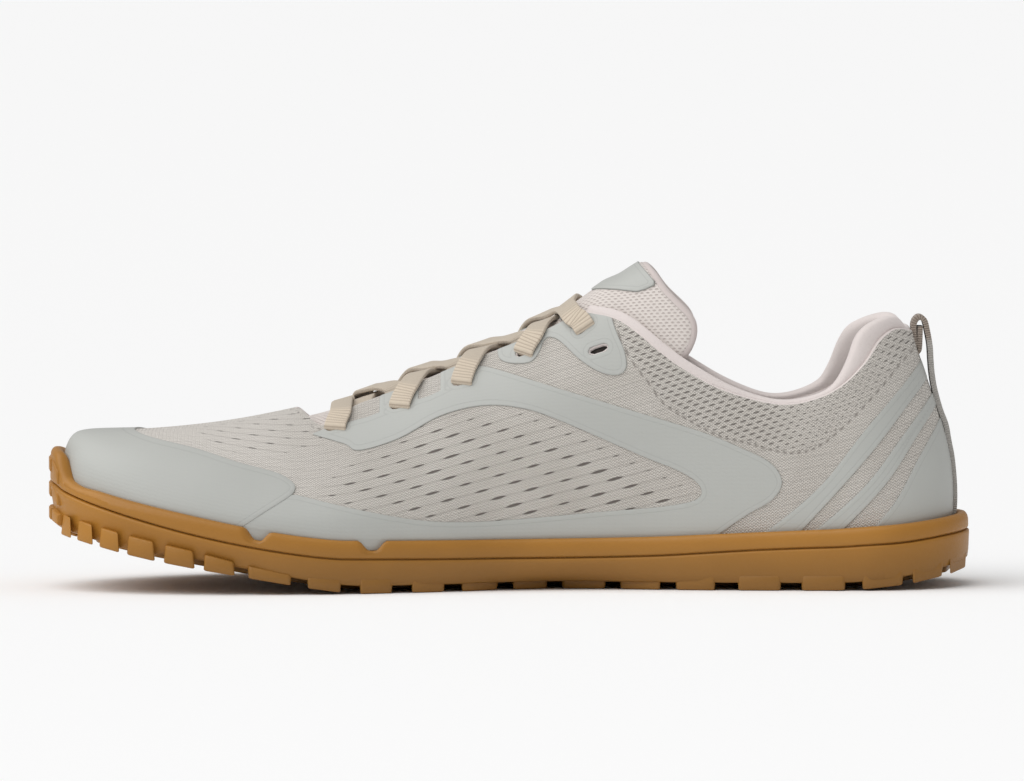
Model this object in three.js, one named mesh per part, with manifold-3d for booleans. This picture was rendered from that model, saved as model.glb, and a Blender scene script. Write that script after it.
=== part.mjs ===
// Barefoot trail shoe, right foot, size about EU 42. Millimetres, +Z up.
// The toe points to -X, the wearer's inner side is -Y, and the tread stands on z = 0.
import * as THREE from "three";
import Module from "manifold-3d";

const wasm = await Module();
wasm.setup();

// Driving sizes
const soleLength = 280; // heel to toe tip, over the rubber
const ballWidth = 106; // over the rubber at the ball
const instepHeight = 85; // ridge of the last at the top of the throat
const heelHeight = 79.5; // top edge of the upper above the heel
const toeSpring = 17.5; // rise of the tread at the toe
const heelBevel = 6; // rise of the tread at the back of the heel
const wallHeight = 16; // rubber side wall, tread to rim, at the waist
const lugDepth = 3.3;
const slab = 4.7; // rubber between the lugs and the footbed
const rimWall = 4.4; // how far the rubber stands out past the foot of the upper
const grooveDepth = 1.2;
const archTuck = 9; // how far the inner wall turns under at the arch
const wall = 2; // knit upper with its lining
const overlay = 0.8; // welded film on the upper
const insoleThickness = 3;
const tongueThickness = 4.5;
const padThickness = 4.6;
const rollHeight = 4.6; // padded roll above the upper's top edge
const rollSwell = 1; // how much taller it stands where the collar climbs to the heel
const laceWidth = 7;
const laceThickness = 1.5;
const slotLength = 6.4;
const slotWidth = 2.6;
const webWidth = 11; // pull tab webbing
const webThickness = 1.3;
const gap = 0.3; // between pieces that touch

// Plan of the sole: half widths as shares of ballWidth, at as a share from heel to toe.
// swing is the sideways shift of the centre line, towards the big toe where negative.
const plan = [
  { at: 0.0, swing: 0.0, inner: 0.335, outer: 0.335 },
  { at: 0.12, swing: 0.0, inner: 0.335, outer: 0.345 },
  { at: 0.25, swing: 0.0, inner: 0.32, outer: 0.345 },
  { at: 0.38, swing: 0.0, inner: 0.3, outer: 0.358 },
  { at: 0.5, swing: 0.0, inner: 0.335, outer: 0.41 },
  { at: 0.6, swing: -0.005, inner: 0.41, outer: 0.475 },
  { at: 0.7, swing: -0.015, inner: 0.48, outer: 0.52 },
  { at: 0.79, swing: -0.045, inner: 0.468, outer: 0.505 },
  { at: 0.88, swing: -0.095, inner: 0.405, outer: 0.455 },
  { at: 1.0, swing: -0.155, inner: 0.34, outer: 0.37 },
];
const heelRound = { reach: 0.125, power: 2.2 };
const toeRound = { reach: 0.17, power: 2.3 };

// Rubber side wall: heights above the tread as shares of wallHeight
const wallLines = [
  { at: 0.0, groove: 0.7, rim: 1.02 },
  { at: 0.03, groove: 0.76, rim: 1.08 },
  { at: 0.075, groove: 0.8, rim: 1.14 },
  { at: 0.12, groove: 0.83, rim: 1.17 },
  { at: 0.228, groove: 0.77, rim: 1.1 },
  { at: 0.36, groove: 0.64, rim: 1.0 },
  { at: 0.55, groove: 0.62, rim: 0.975 },
  { at: 0.73, groove: 0.675, rim: 1.02 },
  { at: 0.85, groove: 0.72, rim: 1.05 },
  { at: 0.948, groove: 0.8, rim: 1.05 },
  { at: 0.983, groove: 0.86, rim: 1.1 },
  { at: 0.993, groove: 0.92, rim: 1.5 },
  { at: 1.0, groove: 0.94, rim: 1.58 },
];

// Last: ridge height as shares of instepHeight and heelHeight, and half widths of the
// section at three heights as shares of the half width at its foot. Behind the throat
// the ridge runs on over the ankle, where the collar line cuts it off.
const last = [
  { at: 0.0, instep: 0.0, heel: 1.284, belly: 1.0, shoulder: 0.95, crown: 0.85 },
  { at: 0.12, instep: 0.0, heel: 1.37, belly: 1.0, shoulder: 0.93, crown: 0.82 },
  { at: 0.25, instep: 0.64, heel: 0.7, belly: 1.0, shoulder: 0.96, crown: 0.8 },
  { at: 0.33, instep: 1.19, heel: 0.0, belly: 1.03, shoulder: 0.95, crown: 0.64 },
  { at: 0.38, instep: 1.1, heel: 0.0, belly: 1.05, shoulder: 0.9, crown: 0.54 },
  { at: 0.43, instep: 1.0, heel: 0.0, belly: 1.06, shoulder: 0.86, crown: 0.47 },
  { at: 0.5, instep: 0.895, heel: 0.0, belly: 1.06, shoulder: 0.79, crown: 0.39 },
  { at: 0.57, instep: 0.811, heel: 0.0, belly: 1.04, shoulder: 0.72, crown: 0.33 },
  { at: 0.65, instep: 0.726, heel: 0.0, belly: 1.01, shoulder: 0.66, crown: 0.27 },
  { at: 0.72, instep: 0.66, heel: 0.0, belly: 1.0, shoulder: 0.66, crown: 0.27 },
  { at: 0.76, instep: 0.632, heel: 0.0, belly: 1.0, shoulder: 0.7, crown: 0.31 },
  { at: 0.82, instep: 0.597, heel: 0.0, belly: 1.0, shoulder: 0.77, crown: 0.38 },
  { at: 0.88, instep: 0.574, heel: 0.0, belly: 1.01, shoulder: 0.82, crown: 0.46 },
  { at: 0.94, instep: 0.562, heel: 0.0, belly: 1.02, shoulder: 0.88, crown: 0.52 },
  { at: 1.0, instep: 0.562, heel: 0.0, belly: 1.02, shoulder: 0.9, crown: 0.55 },
];

// Levels of a section: share of its height, and how far heel and toe draw in there,
// as shares of soleLength
const levels = [
  { name: "foot", up: 0.0, heelIn: 0.008, toeIn: 0.006 },
  { name: "belly", up: 0.3, heelIn: 0.0, toeIn: 0.0 },
  { name: "shoulder", up: 0.68, heelIn: 0.039, toeIn: 0.002 },
  { name: "crown", up: 0.95, heelIn: 0.063, toeIn: 0.014 },
  { name: "top", up: 1.0, heelIn: 0.072, toeIn: 0.045 },
];

// Side outlines: at from heel to toe, rise as a share of the local collar height
const collarLine = [
  { at: 0.44, rise: 1.01 },
  { at: 0.419, rise: 0.981 },
  { at: 0.381, rise: 0.95 },
  { at: 0.337, rise: 0.838 },
  { at: 0.315, rise: 0.79 },
  { at: 0.272, rise: 0.723 },
  { at: 0.228, rise: 0.689 },
  { at: 0.195, rise: 0.692 },
  { at: 0.162, rise: 0.729 },
  { at: 0.141, rise: 0.775 },
  { at: 0.119, rise: 0.862 },
  { at: 0.105, rise: 0.942 },
  { at: 0.09, rise: 0.988 },
  { at: 0.075, rise: 0.998 },
  { at: 0.05, rise: 0.97 },
];

// Throat seen from above: half width of the opening as a share of ballWidth
const throatLine = [
  { at: 0.735, half: 0.0 },
  { at: 0.733, half: 0.07 },
  { at: 0.722, half: 0.145 },
  { at: 0.705, half: 0.165 },
  { at: 0.69, half: 0.125 },
  { at: 0.665, half: 0.1 },
  { at: 0.6, half: 0.1 },
  { at: 0.52, half: 0.11 },
  { at: 0.44, half: 0.13 },
  { at: 0.37, half: 0.15 },
];

// Lace holes from the toe up: place in the side view, slant in degrees
const slots = [
  { at: 0.689, rise: 0.575, slant: 20 },
  { at: 0.619, rise: 0.652, slant: 15 },
  { at: 0.552, rise: 0.736, slant: 15 },
  { at: 0.484, rise: 0.843, slant: 20 },
  { at: 0.42, rise: 0.932, slant: 40 },
  { at: 0.405, rise: 0.853, slant: 15 },
];

// Numbers between the rows of a table, by a smooth curve through them
function read(table, column, at) {
  const lastRow = table.length - 1;
  let i = 0;
  while (i < lastRow - 1 && at > table[i + 1].at) i++;
  const [a, b] = [table[i], table[i + 1]];
  const before = table[Math.max(i - 1, 0)];
  const after = table[Math.min(i + 2, lastRow)];
  const span = b.at - a.at;
  const slopeA = ((b[column] - before[column]) / (b.at - before.at)) * span;
  const slopeB = ((after[column] - a[column]) / (after.at - a.at)) * span;
  const t = THREE.MathUtils.clamp((at - a.at) / span, 0, 1);
  const h = t * t * (3 - 2 * t);
  return (
    a[column] + (b[column] - a[column]) * h +
    slopeA * t * (1 - t) * (1 - t) - slopeB * t * t * (1 - t)
  );
}

// Sole plan and lines
function roundEnd(at) {
  const heel = Math.max(0, 1 - at / heelRound.reach);
  const toe = Math.max(0, 1 - (1 - at) / toeRound.reach);
  const arc = (u, power) => (1 - u ** power) ** (1 / power);
  return arc(Math.min(heel, 1), heelRound.power) * arc(Math.min(toe, 1), toeRound.power);
}

function planPoint(at, side, inset) {
  const half = ballWidth * read(plan, side < 0 ? "inner" : "outer", at);
  return {
    x: (soleLength / 2 - inset) * (1 - 2 * at),
    y: ballWidth * read(plan, "swing", at) + side * (half - inset) * roundEnd(at),
  };
}

const shareOf = (x) => THREE.MathUtils.clamp(0.5 - x / soleLength, 0, 1);

function tread(at) {
  const toe = Math.max(0, (at - 0.68) / 0.32);
  const heel = Math.max(0, (0.16 - at) / 0.16);
  return toeSpring * toe ** 1.45 + heelBevel * heel ** 2;
}

const base = (at) => tread(at) + lugDepth;
const floorLine = (at) => base(at) + slab;
const groove = (at) => tread(at) + wallHeight * read(wallLines, "groove", at);
const rim = (at) => tread(at) + wallHeight * read(wallLines, "rim", at);
const tuck = (at, side) =>
  side < 0 ? archTuck * Math.exp(-(((at - 0.45) / 0.085) ** 2)) : 0;

// Places in the side view
function sidePoint({ at, rise }) {
  const front = THREE.MathUtils.smoothstep(at, 0.15, 0.35);
  return new THREE.Vector2(
    soleLength * (0.5 - at),
    rise * THREE.MathUtils.lerp(heelHeight, instepHeight, front),
  );
}

// Sections of the last
const stationCount = 24;
const pointsPerSpan = 2;
const stations = Array.from({ length: stationCount + 1 }, (_, i) =>
  (1 - Math.cos((Math.PI * i) / stationCount)) / 2,
);

function lastPoint(at, level, side) {
  const low = floorLine(at) + gap;
  const top =
    instepHeight * read(last, "instep", at) + heelHeight * read(last, "heel", at);
  const share =
    { foot: 1, top: 0 }[level.name] ?? read(last, level.name, at);
  const { x, y } = planPoint(at, side, rimWall);
  const middle = ballWidth * read(plan, "swing", at);
  const heelShift = level.heelIn * soleLength * (1 - at) ** 3;
  const toeShift = level.toeIn * soleLength * at ** 3;
  return new THREE.Vector3(
    x - heelShift + toeShift,
    middle + (y - middle) * share,
    low + (top - low) * level.up,
  );
}

// Across one section, from the inner foot over the ridge to the outer foot
function sectionControls(at) {
  const inner = levels.map((level) => lastPoint(at, level, -1));
  const outer = levels.map((level) => lastPoint(at, level, 1)).reverse();
  return [...inner, ...outer.slice(1)];
}

function alongSpline(points, t) {
  const spans = points.length - 1;
  const i = Math.min(Math.floor(t * spans), spans - 1);
  const u = t * spans - i;
  const [b, c] = [points[i], points[i + 1]];
  const a = points[i - 1] ?? b.clone().multiplyScalar(2).sub(c);
  const d = points[i + 2] ?? c.clone().multiplyScalar(2).sub(b);
  const curve = (p, q, r, s) =>
    q + 0.5 * u * (r - p + u * (2 * p - 5 * q + 4 * r - s + u * (3 * (q - r) + s - p)));
  return new THREE.Vector3(
    curve(a.x, b.x, c.x, d.x),
    curve(a.y, b.y, c.y, d.y),
    curve(a.z, b.z, c.z, d.z),
  );
}

const across = (levels.length - 1) * 2 * pointsPerSpan;
const skinGrid = stations.map((at) => {
  const controls = sectionControls(at);
  return Array.from({ length: across + 1 }, (_, j) => alongSpline(controls, j / across));
});

// The end sections close up to a line, so both sides share its points
for (const row of [skinGrid[0], skinGrid.at(-1)])
  for (let j = 0; j < across / 2; j++) row[across - j] = row[j];

const keyOf = (p) => [p.x, p.y, p.z].map((c) => Math.round(c * 1e4)).join();

const skinNormals = (() => {
  const sums = new Map();
  for (const row of skinGrid) for (const p of row) sums.set(keyOf(p), new THREE.Vector3());
  for (let i = 0; i < stationCount; i++)
    for (let j = 0; j < across; j++) {
      const [a, b] = [skinGrid[i][j], skinGrid[i][j + 1]];
      const [c, d] = [skinGrid[i + 1][j + 1], skinGrid[i + 1][j]];
      const normal = c.clone().sub(a).cross(d.clone().sub(b));
      for (const p of [a, b, c, d]) sums.get(keyOf(p)).add(normal);
    }
  for (const sum of sums.values()) sum.normalize();
  return sums;
})();

// Solids from points
function solidOf(points, faces) {
  const places = new Map();
  const merged = [];
  const ids = points.map((p) => {
    const key = keyOf(p);
    if (!places.has(key)) {
      places.set(key, merged.length / 3);
      merged.push(p.x, p.y, p.z);
    }
    return places.get(key);
  });
  const kept = faces
    .map((face) => face.map((k) => ids[k]))
    .filter(([a, b, c]) => a !== b && b !== c && c !== a);
  const build = (list) =>
    new wasm.Manifold(
      new wasm.Mesh({
        numProp: 3,
        vertProperties: new Float32Array(merged),
        triVerts: new Uint32Array(list.flat()),
      }),
    );
  const made = build(kept);
  return made.volume() < 0 ? build(kept.map(([a, b, c]) => [a, c, b])) : made;
}

// Skin through a row of loops; loops that have closed up to a line need no cap
function loft(loops, capped = false) {
  const count = loops[0].length;
  const faces = [];
  for (let i = 0; i + 1 < loops.length; i++)
    for (let j = 0; j < count; j++) {
      const next = (j + 1) % count;
      const [a, b] = [i * count + j, i * count + next];
      const [c, d] = [a + count, b + count];
      faces.push([a, b, d], [a, d, c]);
    }
  const end = (loops.length - 1) * count;
  for (let j = 1; capped && j + 1 < count; j++) {
    faces.push([0, j + 1, j]);
    faces.push([end, end + j, end + j + 1]);
  }
  return solidOf(loops.flat(), faces);
}

function fromGeometry(geometry) {
  const flat = geometry.index ? geometry.toNonIndexed() : geometry;
  const position = flat.getAttribute("position");
  const points = Array.from({ length: position.count }, (_, i) =>
    new THREE.Vector3().fromBufferAttribute(position, i),
  );
  const faces = Array.from({ length: position.count / 3 }, (_, i) => [3 * i, 3 * i + 1, 3 * i + 2]);
  return solidOf(points, faces);
}

// The last grown or shrunk by an offset along its normals. A skirt lets a cutter run
// out through the open underside.
function lastSolid(offset, skirt = 0) {
  const loops = skinGrid.map((row) => {
    const moved = row.map((p) => p.clone().addScaledVector(skinNormals.get(keyOf(p)), offset));
    if (!skirt) return moved;
    const down = new THREE.Vector3(0, 0, -skirt);
    return [moved[0].clone().add(down), ...moved, moved[across].clone().add(down)];
  });
  return loft(loops);
}

const skirtDepth = 6;
const shell = (outside, inside) =>
  lastSolid(outside).subtract(lastSolid(inside, skirtDepth));

// Blocks cut from the side view (side -1 inner half, 1 outer half, 0 both) and from above
const reach = 90;

function sideBlock(points, side = 0) {
  const shape = new THREE.Shape(points);
  const depth = side ? reach : 2 * reach;
  const geometry = new THREE.ExtrudeGeometry(shape, { depth, bevelEnabled: false });
  geometry.rotateX(Math.PI / 2);
  geometry.translate(0, side < 0 ? 0 : reach, 0);
  return fromGeometry(geometry);
}

const smoothLine = (rows, count) => new THREE.SplineCurve(rows.map(sidePoint)).getPoints(count);

// Upper with its collar, throat and lace holes
const above = 150;
const collarPoints = smoothLine(collarLine, 26);

function collarBlock() {
  const [front, back] = [collarPoints[0], collarPoints.at(-1)];
  return sideBlock([
    new THREE.Vector2(front.x, above),
    ...collarPoints,
    new THREE.Vector2(soleLength / 2, back.y - 1),
    new THREE.Vector2(soleLength / 2, above),
  ]);
}

function throatBlock(grow = 0) {
  const rows = throatLine.map(
    ({ at, half }) => new THREE.Vector2(soleLength * (0.5 - at), half * ballWidth),
  );
  const edge = new THREE.SplineCurve(rows).getPoints(18);
  edge.forEach((p) => (p.y += grow));
  const mirrored = edge.map((p) => new THREE.Vector2(p.x, -p.y)).reverse();
  const shape = new THREE.Shape([...edge, ...mirrored]);
  const geometry = new THREE.ExtrudeGeometry(shape, { depth: above, bevelEnabled: false });
  geometry.translate(0, 0, instepHeight / 3);
  return fromGeometry(geometry);
}

// Place and outward normal on the skin, from its place in the side view
function heightPoint(at, z, side) {
  const controls = sectionControls(at);
  const half = side < 0 ? controls.slice(0, levels.length) : controls.slice(levels.length - 1).reverse();
  const full = side < 0 ? controls : [...controls].reverse();
  let [low, high] = [0, (half.length - 1) / (full.length - 1)];
  for (let k = 0; k < 24; k++) {
    const middle = (low + high) / 2;
    if (alongSpline(full, middle).z < z) low = middle;
    else high = middle;
  }
  return alongSpline(full, (low + high) / 2);
}

function skinPlace(at, z, side) {
  const step = 0.004;
  const point = heightPoint(at, z, side);
  const behind = at > step ? heightPoint(at - step, z, side) : heightPoint(step, z, -side);
  const along = heightPoint(at + step, z, side).sub(behind);
  const up = heightPoint(at, z + 0.5, side).sub(heightPoint(at, z - 0.5, side));
  const normal = along.cross(up).normalize();
  const core = new THREE.Vector3(
    THREE.MathUtils.clamp(point.x, -soleLength / 4, soleLength / 4),
    ballWidth * read(plan, "swing", at),
    z,
  );
  if (normal.dot(point.clone().sub(core)) < 0) normal.negate();
  return { point, normal, at };
}

function onSkin(x, z, side) {
  let [heel, toe] = [0, 1];
  for (let k = 0; k < 24; k++) {
    const middle = (heel + toe) / 2;
    if (heightPoint(middle, z, side).x > x) heel = middle;
    else toe = middle;
  }
  return skinPlace((heel + toe) / 2, z, side);
}

const laceHoles = [-1, 1].flatMap((side) =>
  slots.map((slot) => {
    const { x, y: z } = sidePoint(slot);
    return { ...slot, side, ...onSkin(x, z, side) };
  }),
);

function slotCutter({ point, normal, slant }) {
  const half = (slotLength - slotWidth) / 2;
  const shape = new THREE.Shape();
  shape.absarc(half, 0, slotWidth / 2, -Math.PI / 2, Math.PI / 2);
  shape.absarc(-half, 0, slotWidth / 2, Math.PI / 2, (Math.PI * 3) / 2);
  const depth = 6 * wall;
  const geometry = new THREE.ExtrudeGeometry(shape, { depth, bevelEnabled: false, curveSegments: 2 });
  geometry.translate(0, 0, -depth / 2);
  const slope = THREE.MathUtils.degToRad(slant);
  const tilt = new THREE.Vector3(Math.cos(slope), 0, Math.sin(slope));
  const long = tilt.addScaledVector(normal, -tilt.dot(normal)).normalize();
  const wide = normal.clone().cross(long);
  geometry.applyMatrix4(new THREE.Matrix4().makeBasis(long, wide, normal).setPosition(point));
  return fromGeometry(geometry);
}

const openings = collarBlock().add(throatBlock());
const holes = laceHoles.map(slotCutter).reduce((all, cutter) => all.add(cutter));
const upper = shell(0, -wall).subtract(openings).subtract(holes);

// Rubber cup: levels up the wall, by inset from the plan outline and height
function cupLevels(at, side) {
  const turned = tuck(at, side);
  return [
    { inset: 5 + turned, z: base(at) },
    { inset: 1.6 + turned * 0.55, z: base(at) + 0.5 },
    { inset: 0.5 + turned * 0.15, z: base(at) + 3 },
    { inset: 0, z: groove(at) - 1.2 },
    { inset: grooveDepth, z: groove(at) },
    { inset: 0.2, z: groove(at) + 1 },
    { inset: 0.4, z: rim(at) - 2.2 },
    { inset: 1.3, z: rim(at) - 0.6 },
    { inset: 2.8, z: rim(at) },
  ];
}

function cupSolid(lift = 0) {
  const loops = stations.map((at) => {
    const side = (s) =>
      cupLevels(at, s).map(({ inset, z }) => {
        const { x, y } = planPoint(at, s, inset);
        return new THREE.Vector3(x, y, z + lift);
      });
    return [...side(-1), ...side(1).reverse()];
  });
  return loft(loops);
}

// A lug is a block with drafted sides; its foot lies on the tread line
function lug(corners, draft = 0.7) {
  const middle = corners.reduce((sum, [x, y]) => sum.add(new THREE.Vector2(x, y)), new THREE.Vector2());
  middle.divideScalar(corners.length);
  const ring = (height, shrink) =>
    corners.map(([x, y]) => {
      const away = new THREE.Vector2(x, y).sub(middle);
      const p = away.setLength(away.length() - shrink).add(middle);
      return new THREE.Vector3(p.x, p.y, height(shareOf(x)));
    });
  return loft([ring(tread, draft), ring((at) => base(at) + 1.5, 0)], true);
}

// Rows of lugs from the heel on, as shares of soleLength
const lugRows = [
  { rear: 0.004, front: 0.025 },
  { rear: 0.031, front: 0.067 },
  { rear: 0.075, front: 0.122 },
  { rear: 0.1375, front: 0.1875 },
  { rear: 0.207, front: 0.256 },
  { rear: 0.278, front: 0.323 },
  { rear: 0.337, front: 0.383 },
  { rear: 0.396, front: 0.446 },
  { rear: 0.459, front: 0.499 },
  { rear: 0.5125, front: 0.554 },
  { rear: 0.57, front: 0.6075 },
  { rear: 0.626, front: 0.663 },
  { rear: 0.679, front: 0.7196 },
  { rear: 0.734, front: 0.784 },
  { rear: 0.799, front: 0.831 },
  { rear: 0.843, front: 0.877 },
  { rear: 0.889, front: 0.917 },
  { rear: 0.928, front: 0.9475 },
  { rear: 0.957, front: 0.978 },
];
const lugGap = 4.6;
const edgeLugWidth = 13;
const middleLugWidth = 26;

function lugRow(shares, row) {
  const [rear, front] = [shares.rear, shares.front].map((share) => soleLength * (0.5 - share));
  const edge = (x, side, inset) => planPoint(shareOf(x), side, inset + tuck(shareOf(x), side)).y;
  const made = [-1, 1].map((side) =>
    lug([
      [rear, edge(rear, side, 1.4)],
      [front, edge(front, side, 1.4)],
      [front + 1.5, edge(front, side, edgeLugWidth)],
      [rear - 1.5, edge(rear, side, edgeLugWidth)],
    ]),
  );
  const middle = (rear + front) / 2;
  const inner = edge(middle, -1, edgeLugWidth + lugGap);
  const outer = edge(middle, 1, edgeLugWidth + lugGap);
  const count = Math.round((outer - inner) / middleLugWidth);
  const pitch = (outer - inner + lugGap) / count;
  for (let k = 0; k < count; k++) {
    const [left, right] = [inner + k * pitch, inner + (k + 1) * pitch - lugGap];
    const lean = (k + row) % 2 ? 2 : -2;
    made.push(
      lug([
        [rear - 1.5 + lean, left],
        [rear - 1.5 - lean, right],
        [front + 1.5 - lean, right],
        [front + 1.5 + lean, left],
      ]),
    );
  }
  return made;
}

// Blocks that climb the front of the toe in tiers, as shares of the wall's height there
const toeTiers = [
  { low: 0.12, high: 0.32 },
  { low: 0.4, high: 0.62 },
  { low: 0.7, high: 0.92 },
];
const toePads = 4;
const toeTurn = 0.115;

function toePad({ low, high }, k) {
  const turns = [k + 0.1, k + 0.9].map((step) => (step / toePads) * 2 - 1);
  const ring = (inset, shrink) =>
    [
      [turns[0] + shrink, low + shrink],
      [turns[1] - shrink, low + shrink],
      [turns[1] - shrink, high - shrink],
      [turns[0] + shrink, high - shrink],
    ].map(([turn, up]) => {
      const at = 1 - (toeTurn * turn) ** 2;
      const { x, y } = planPoint(at, turn < 0 ? -1 : 1, inset);
      return new THREE.Vector3(x, y, tread(at) + (rim(at) - tread(at)) * up);
    });
  return loft([ring(2.4, 0), ring(-0.2, 0.03)], true);
}

function outsole() {
  const lugs = lugRows.flatMap(lugRow);
  const pads = toeTiers.flatMap((tier) =>
    Array.from({ length: toePads }, (_, k) => toePad(tier, k)),
  );
  const cup = cupSolid().subtract(lastSolid(gap, gap));
  const footprint = [...lugs, ...pads].reduce((all, block) => all.add(block));
  return cup.add(footprint.subtract(lastSolid(gap, gap)));
}

// Insole, just inside the foot of the upper
function insole() {
  const inside = wall + gap;
  const loops = skinGrid.map((row, i) => {
    const [a, b] = [row[0], row[across]].map((p) =>
      p.clone().addScaledVector(skinNormals.get(keyOf(p)).clone().setZ(0).normalize(), -inside),
    );
    const low = floorLine(stations[i]) + gap;
    const at = (p, z) => new THREE.Vector3(p.x, p.y, z);
    const top = low + insoleThickness;
    return [at(a, low), at(a, top), at(b, top), at(b, low)];
  });
  return loft(loops);
}

// Film overlays: a skin just outside the upper, cut to outlines in the side view
const film = shell(gap + overlay, gap)
  .subtract(cupSolid(1.5 * gap))
  .subtract(collarBlock())
  .subtract(throatBlock())
  .subtract(holes);

const saddleOutline = [
  { at: 0.716, rise: 0.551 },
  { at: 0.68, rise: 0.519 },
  { at: 0.663, rise: 0.497 },
  { at: 0.621, rise: 0.537 },
  { at: 0.577, rise: 0.614 },
  { at: 0.533, rise: 0.651 },
  { at: 0.49, rise: 0.645 },
  { at: 0.446, rise: 0.6 },
  { at: 0.359, rise: 0.477 },
  { at: 0.315, rise: 0.42 },
  { at: 0.295, rise: 0.37 },
  { at: 0.3, rise: 0.324 },
  { at: 0.337, rise: 0.296 },
  { at: 0.402, rise: 0.278 },
  { at: 0.479, rise: 0.257 },
  { at: 0.544, rise: 0.247 },
  { at: 0.599, rise: 0.257 },
  { at: 0.664, rise: 0.296 },
  { at: 0.729, rise: 0.344 },
];
const saddleFoot = [
  { at: 0.785, rise: 0.236 },
  { at: 0.785, rise: 0.05 },
  { at: 0.28, rise: 0.05 },
];
const saddleBack = [
  { at: 0.28, rise: 0.185 },
  { at: 0.269, rise: 0.217 },
  { at: 0.244, rise: 0.278 },
  { at: 0.217, rise: 0.338 },
  { at: 0.207, rise: 0.407 },
  { at: 0.219, rise: 0.474 },
  { at: 0.25, rise: 0.521 },
  { at: 0.293, rise: 0.569 },
  { at: 0.359, rise: 0.628 },
  { at: 0.446, rise: 0.712 },
  { at: 0.511, rise: 0.775 },
  { at: 0.533, rise: 0.79 },
];
const saddleFront = [
  { at: 0.561, rise: 0.726 },
  { at: 0.588, rise: 0.684 },
  { at: 0.621, rise: 0.652 },
  { at: 0.655, rise: 0.61 },
  { at: 0.691, rise: 0.58 },
];
const tabs = [
  { at: 0.689, rear: 0.677, front: 0.7 },
  { at: 0.619, rear: 0.6, front: 0.642 },
  { at: 0.552, rear: 0.534, front: 0.576 },
];

function saddle(side) {
  const outline = [
    ...smoothLine(saddleOutline, 22),
    ...saddleFoot.map(sidePoint),
    ...smoothLine(saddleBack, 11),
    ...saddleFront.map(sidePoint),
  ];
  const blocks = tabs.map(({ at, rear, front }) => {
    const level = slots.find((slot) => slot.at === at).rise;
    return sideBlock(
      [
        { at: rear, rise: level - 0.05 },
        { at: rear, rise: level + 0.3 },
        { at: front, rise: level + 0.3 },
        { at: front, rise: level - 0.05 },
      ].map(sidePoint),
      side,
    );
  });
  const block = blocks.reduce((all, tab) => all.add(tab), sideBlock(outline, side));
  return film.intersect(block).subtract(sideBlock(toeCapOutline(gap)));
}

const eyestayRows = [
  { at: 0.514, rise: 0.9 },
  { at: 0.514, rise: 0.835 },
  { at: 0.509, rise: 0.808 },
  { at: 0.495, rise: 0.799 },
  { at: 0.478, rise: 0.806 },
  { at: 0.469, rise: 0.84 },
  { at: 0.463, rise: 0.884 },
  { at: 0.455, rise: 0.892 },
  { at: 0.444, rise: 0.873 },
  { at: 0.424, rise: 0.813 },
  { at: 0.402, rise: 0.771 },
  { at: 0.384, rise: 0.763 },
  { at: 0.375, rise: 0.789 },
  { at: 0.377, rise: 0.85 },
  { at: 0.388, rise: 0.94 },
  { at: 0.4, rise: 1.1 },
];

const eyestay = (side) =>
  film.intersect(
    sideBlock([...smoothLine(eyestayRows, 24), sidePoint({ at: 0.514, rise: 1.1 })], side),
  );

const toeCapRows = [
  { at: 0.93, rise: 0.6 },
  { at: 0.924, rise: 0.585 },
  { at: 0.904, rise: 0.558 },
  { at: 0.882, rise: 0.537 },
  { at: 0.839, rise: 0.505 },
  { at: 0.795, rise: 0.46 },
  { at: 0.751, rise: 0.421 },
  { at: 0.734, rise: 0.388 },
  { at: 0.732, rise: 0.362 },
  { at: 0.739, rise: 0.338 },
  { at: 0.762, rise: 0.292 },
  { at: 0.795, rise: 0.225 },
];

function toeCapOutline(shift = 0) {
  const edge = smoothLine(toeCapRows, 16).map((p) => new THREE.Vector2(p.x + shift, p.y));
  const [top, foot] = [edge[0], edge.at(-1)];
  const front = -soleLength / 2 - 10;
  return [
    ...edge,
    new THREE.Vector2(foot.x, 0),
    new THREE.Vector2(front, 0),
    new THREE.Vector2(front, above),
    new THREE.Vector2(top.x, above),
  ];
}

const stripes = [
  {
    name: "front_stripe",
    front: [
      { at: 0.243, rise: 0.17 },
      { at: 0.206, rise: 0.266 },
      { at: 0.162, rise: 0.409 },
      { at: 0.119, rise: 0.601 },
      { at: 0.075, rise: 0.778 },
      { at: 0.03, rise: 0.96 },
    ],
    rear: [
      { at: 0.2, rise: 0.17 },
      { at: 0.152, rise: 0.356 },
      { at: 0.108, rise: 0.533 },
      { at: 0.07, rise: 0.703 },
      { at: 0.03, rise: 0.868 },
    ],
  },
  {
    name: "rear_stripe",
    front: [
      { at: 0.188, rise: 0.17 },
      { at: 0.119, rise: 0.39 },
      { at: 0.075, rise: 0.59 },
      { at: 0.03, rise: 0.79 },
    ],
    rear: [
      { at: 0.158, rise: 0.17 },
      { at: 0.097, rise: 0.394 },
      { at: 0.059, rise: 0.59 },
      { at: 0.03, rise: 0.73 },
    ],
  },
  {
    name: "counter",
    front: [
      { at: 0.125, rise: 0.17 },
      { at: 0.086, rise: 0.326 },
      { at: 0.059, rise: 0.496 },
      { at: 0.03, rise: 0.66 },
      { at: 0.01, rise: 0.76 },
    ],
    rear: [{ at: -0.03, rise: 0.17 }, { at: -0.03, rise: 0.76 }],
  },
];

// The heel strip of webbing runs in a channel between the films
const channel = fromGeometry(
  new THREE.BoxGeometry(soleLength / 4, webWidth + 2 * gap, 2 * above).translate(soleLength / 2, 0, 0),
);

function stripe({ front, rear }, side) {
  const rearEdge = rear.length > 2 ? smoothLine(rear, 7) : rear.map(sidePoint);
  const outline = [...smoothLine(front, 8), ...rearEdge.reverse()];
  return film.intersect(sideBlock(outline, side)).subtract(channel);
}

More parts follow.
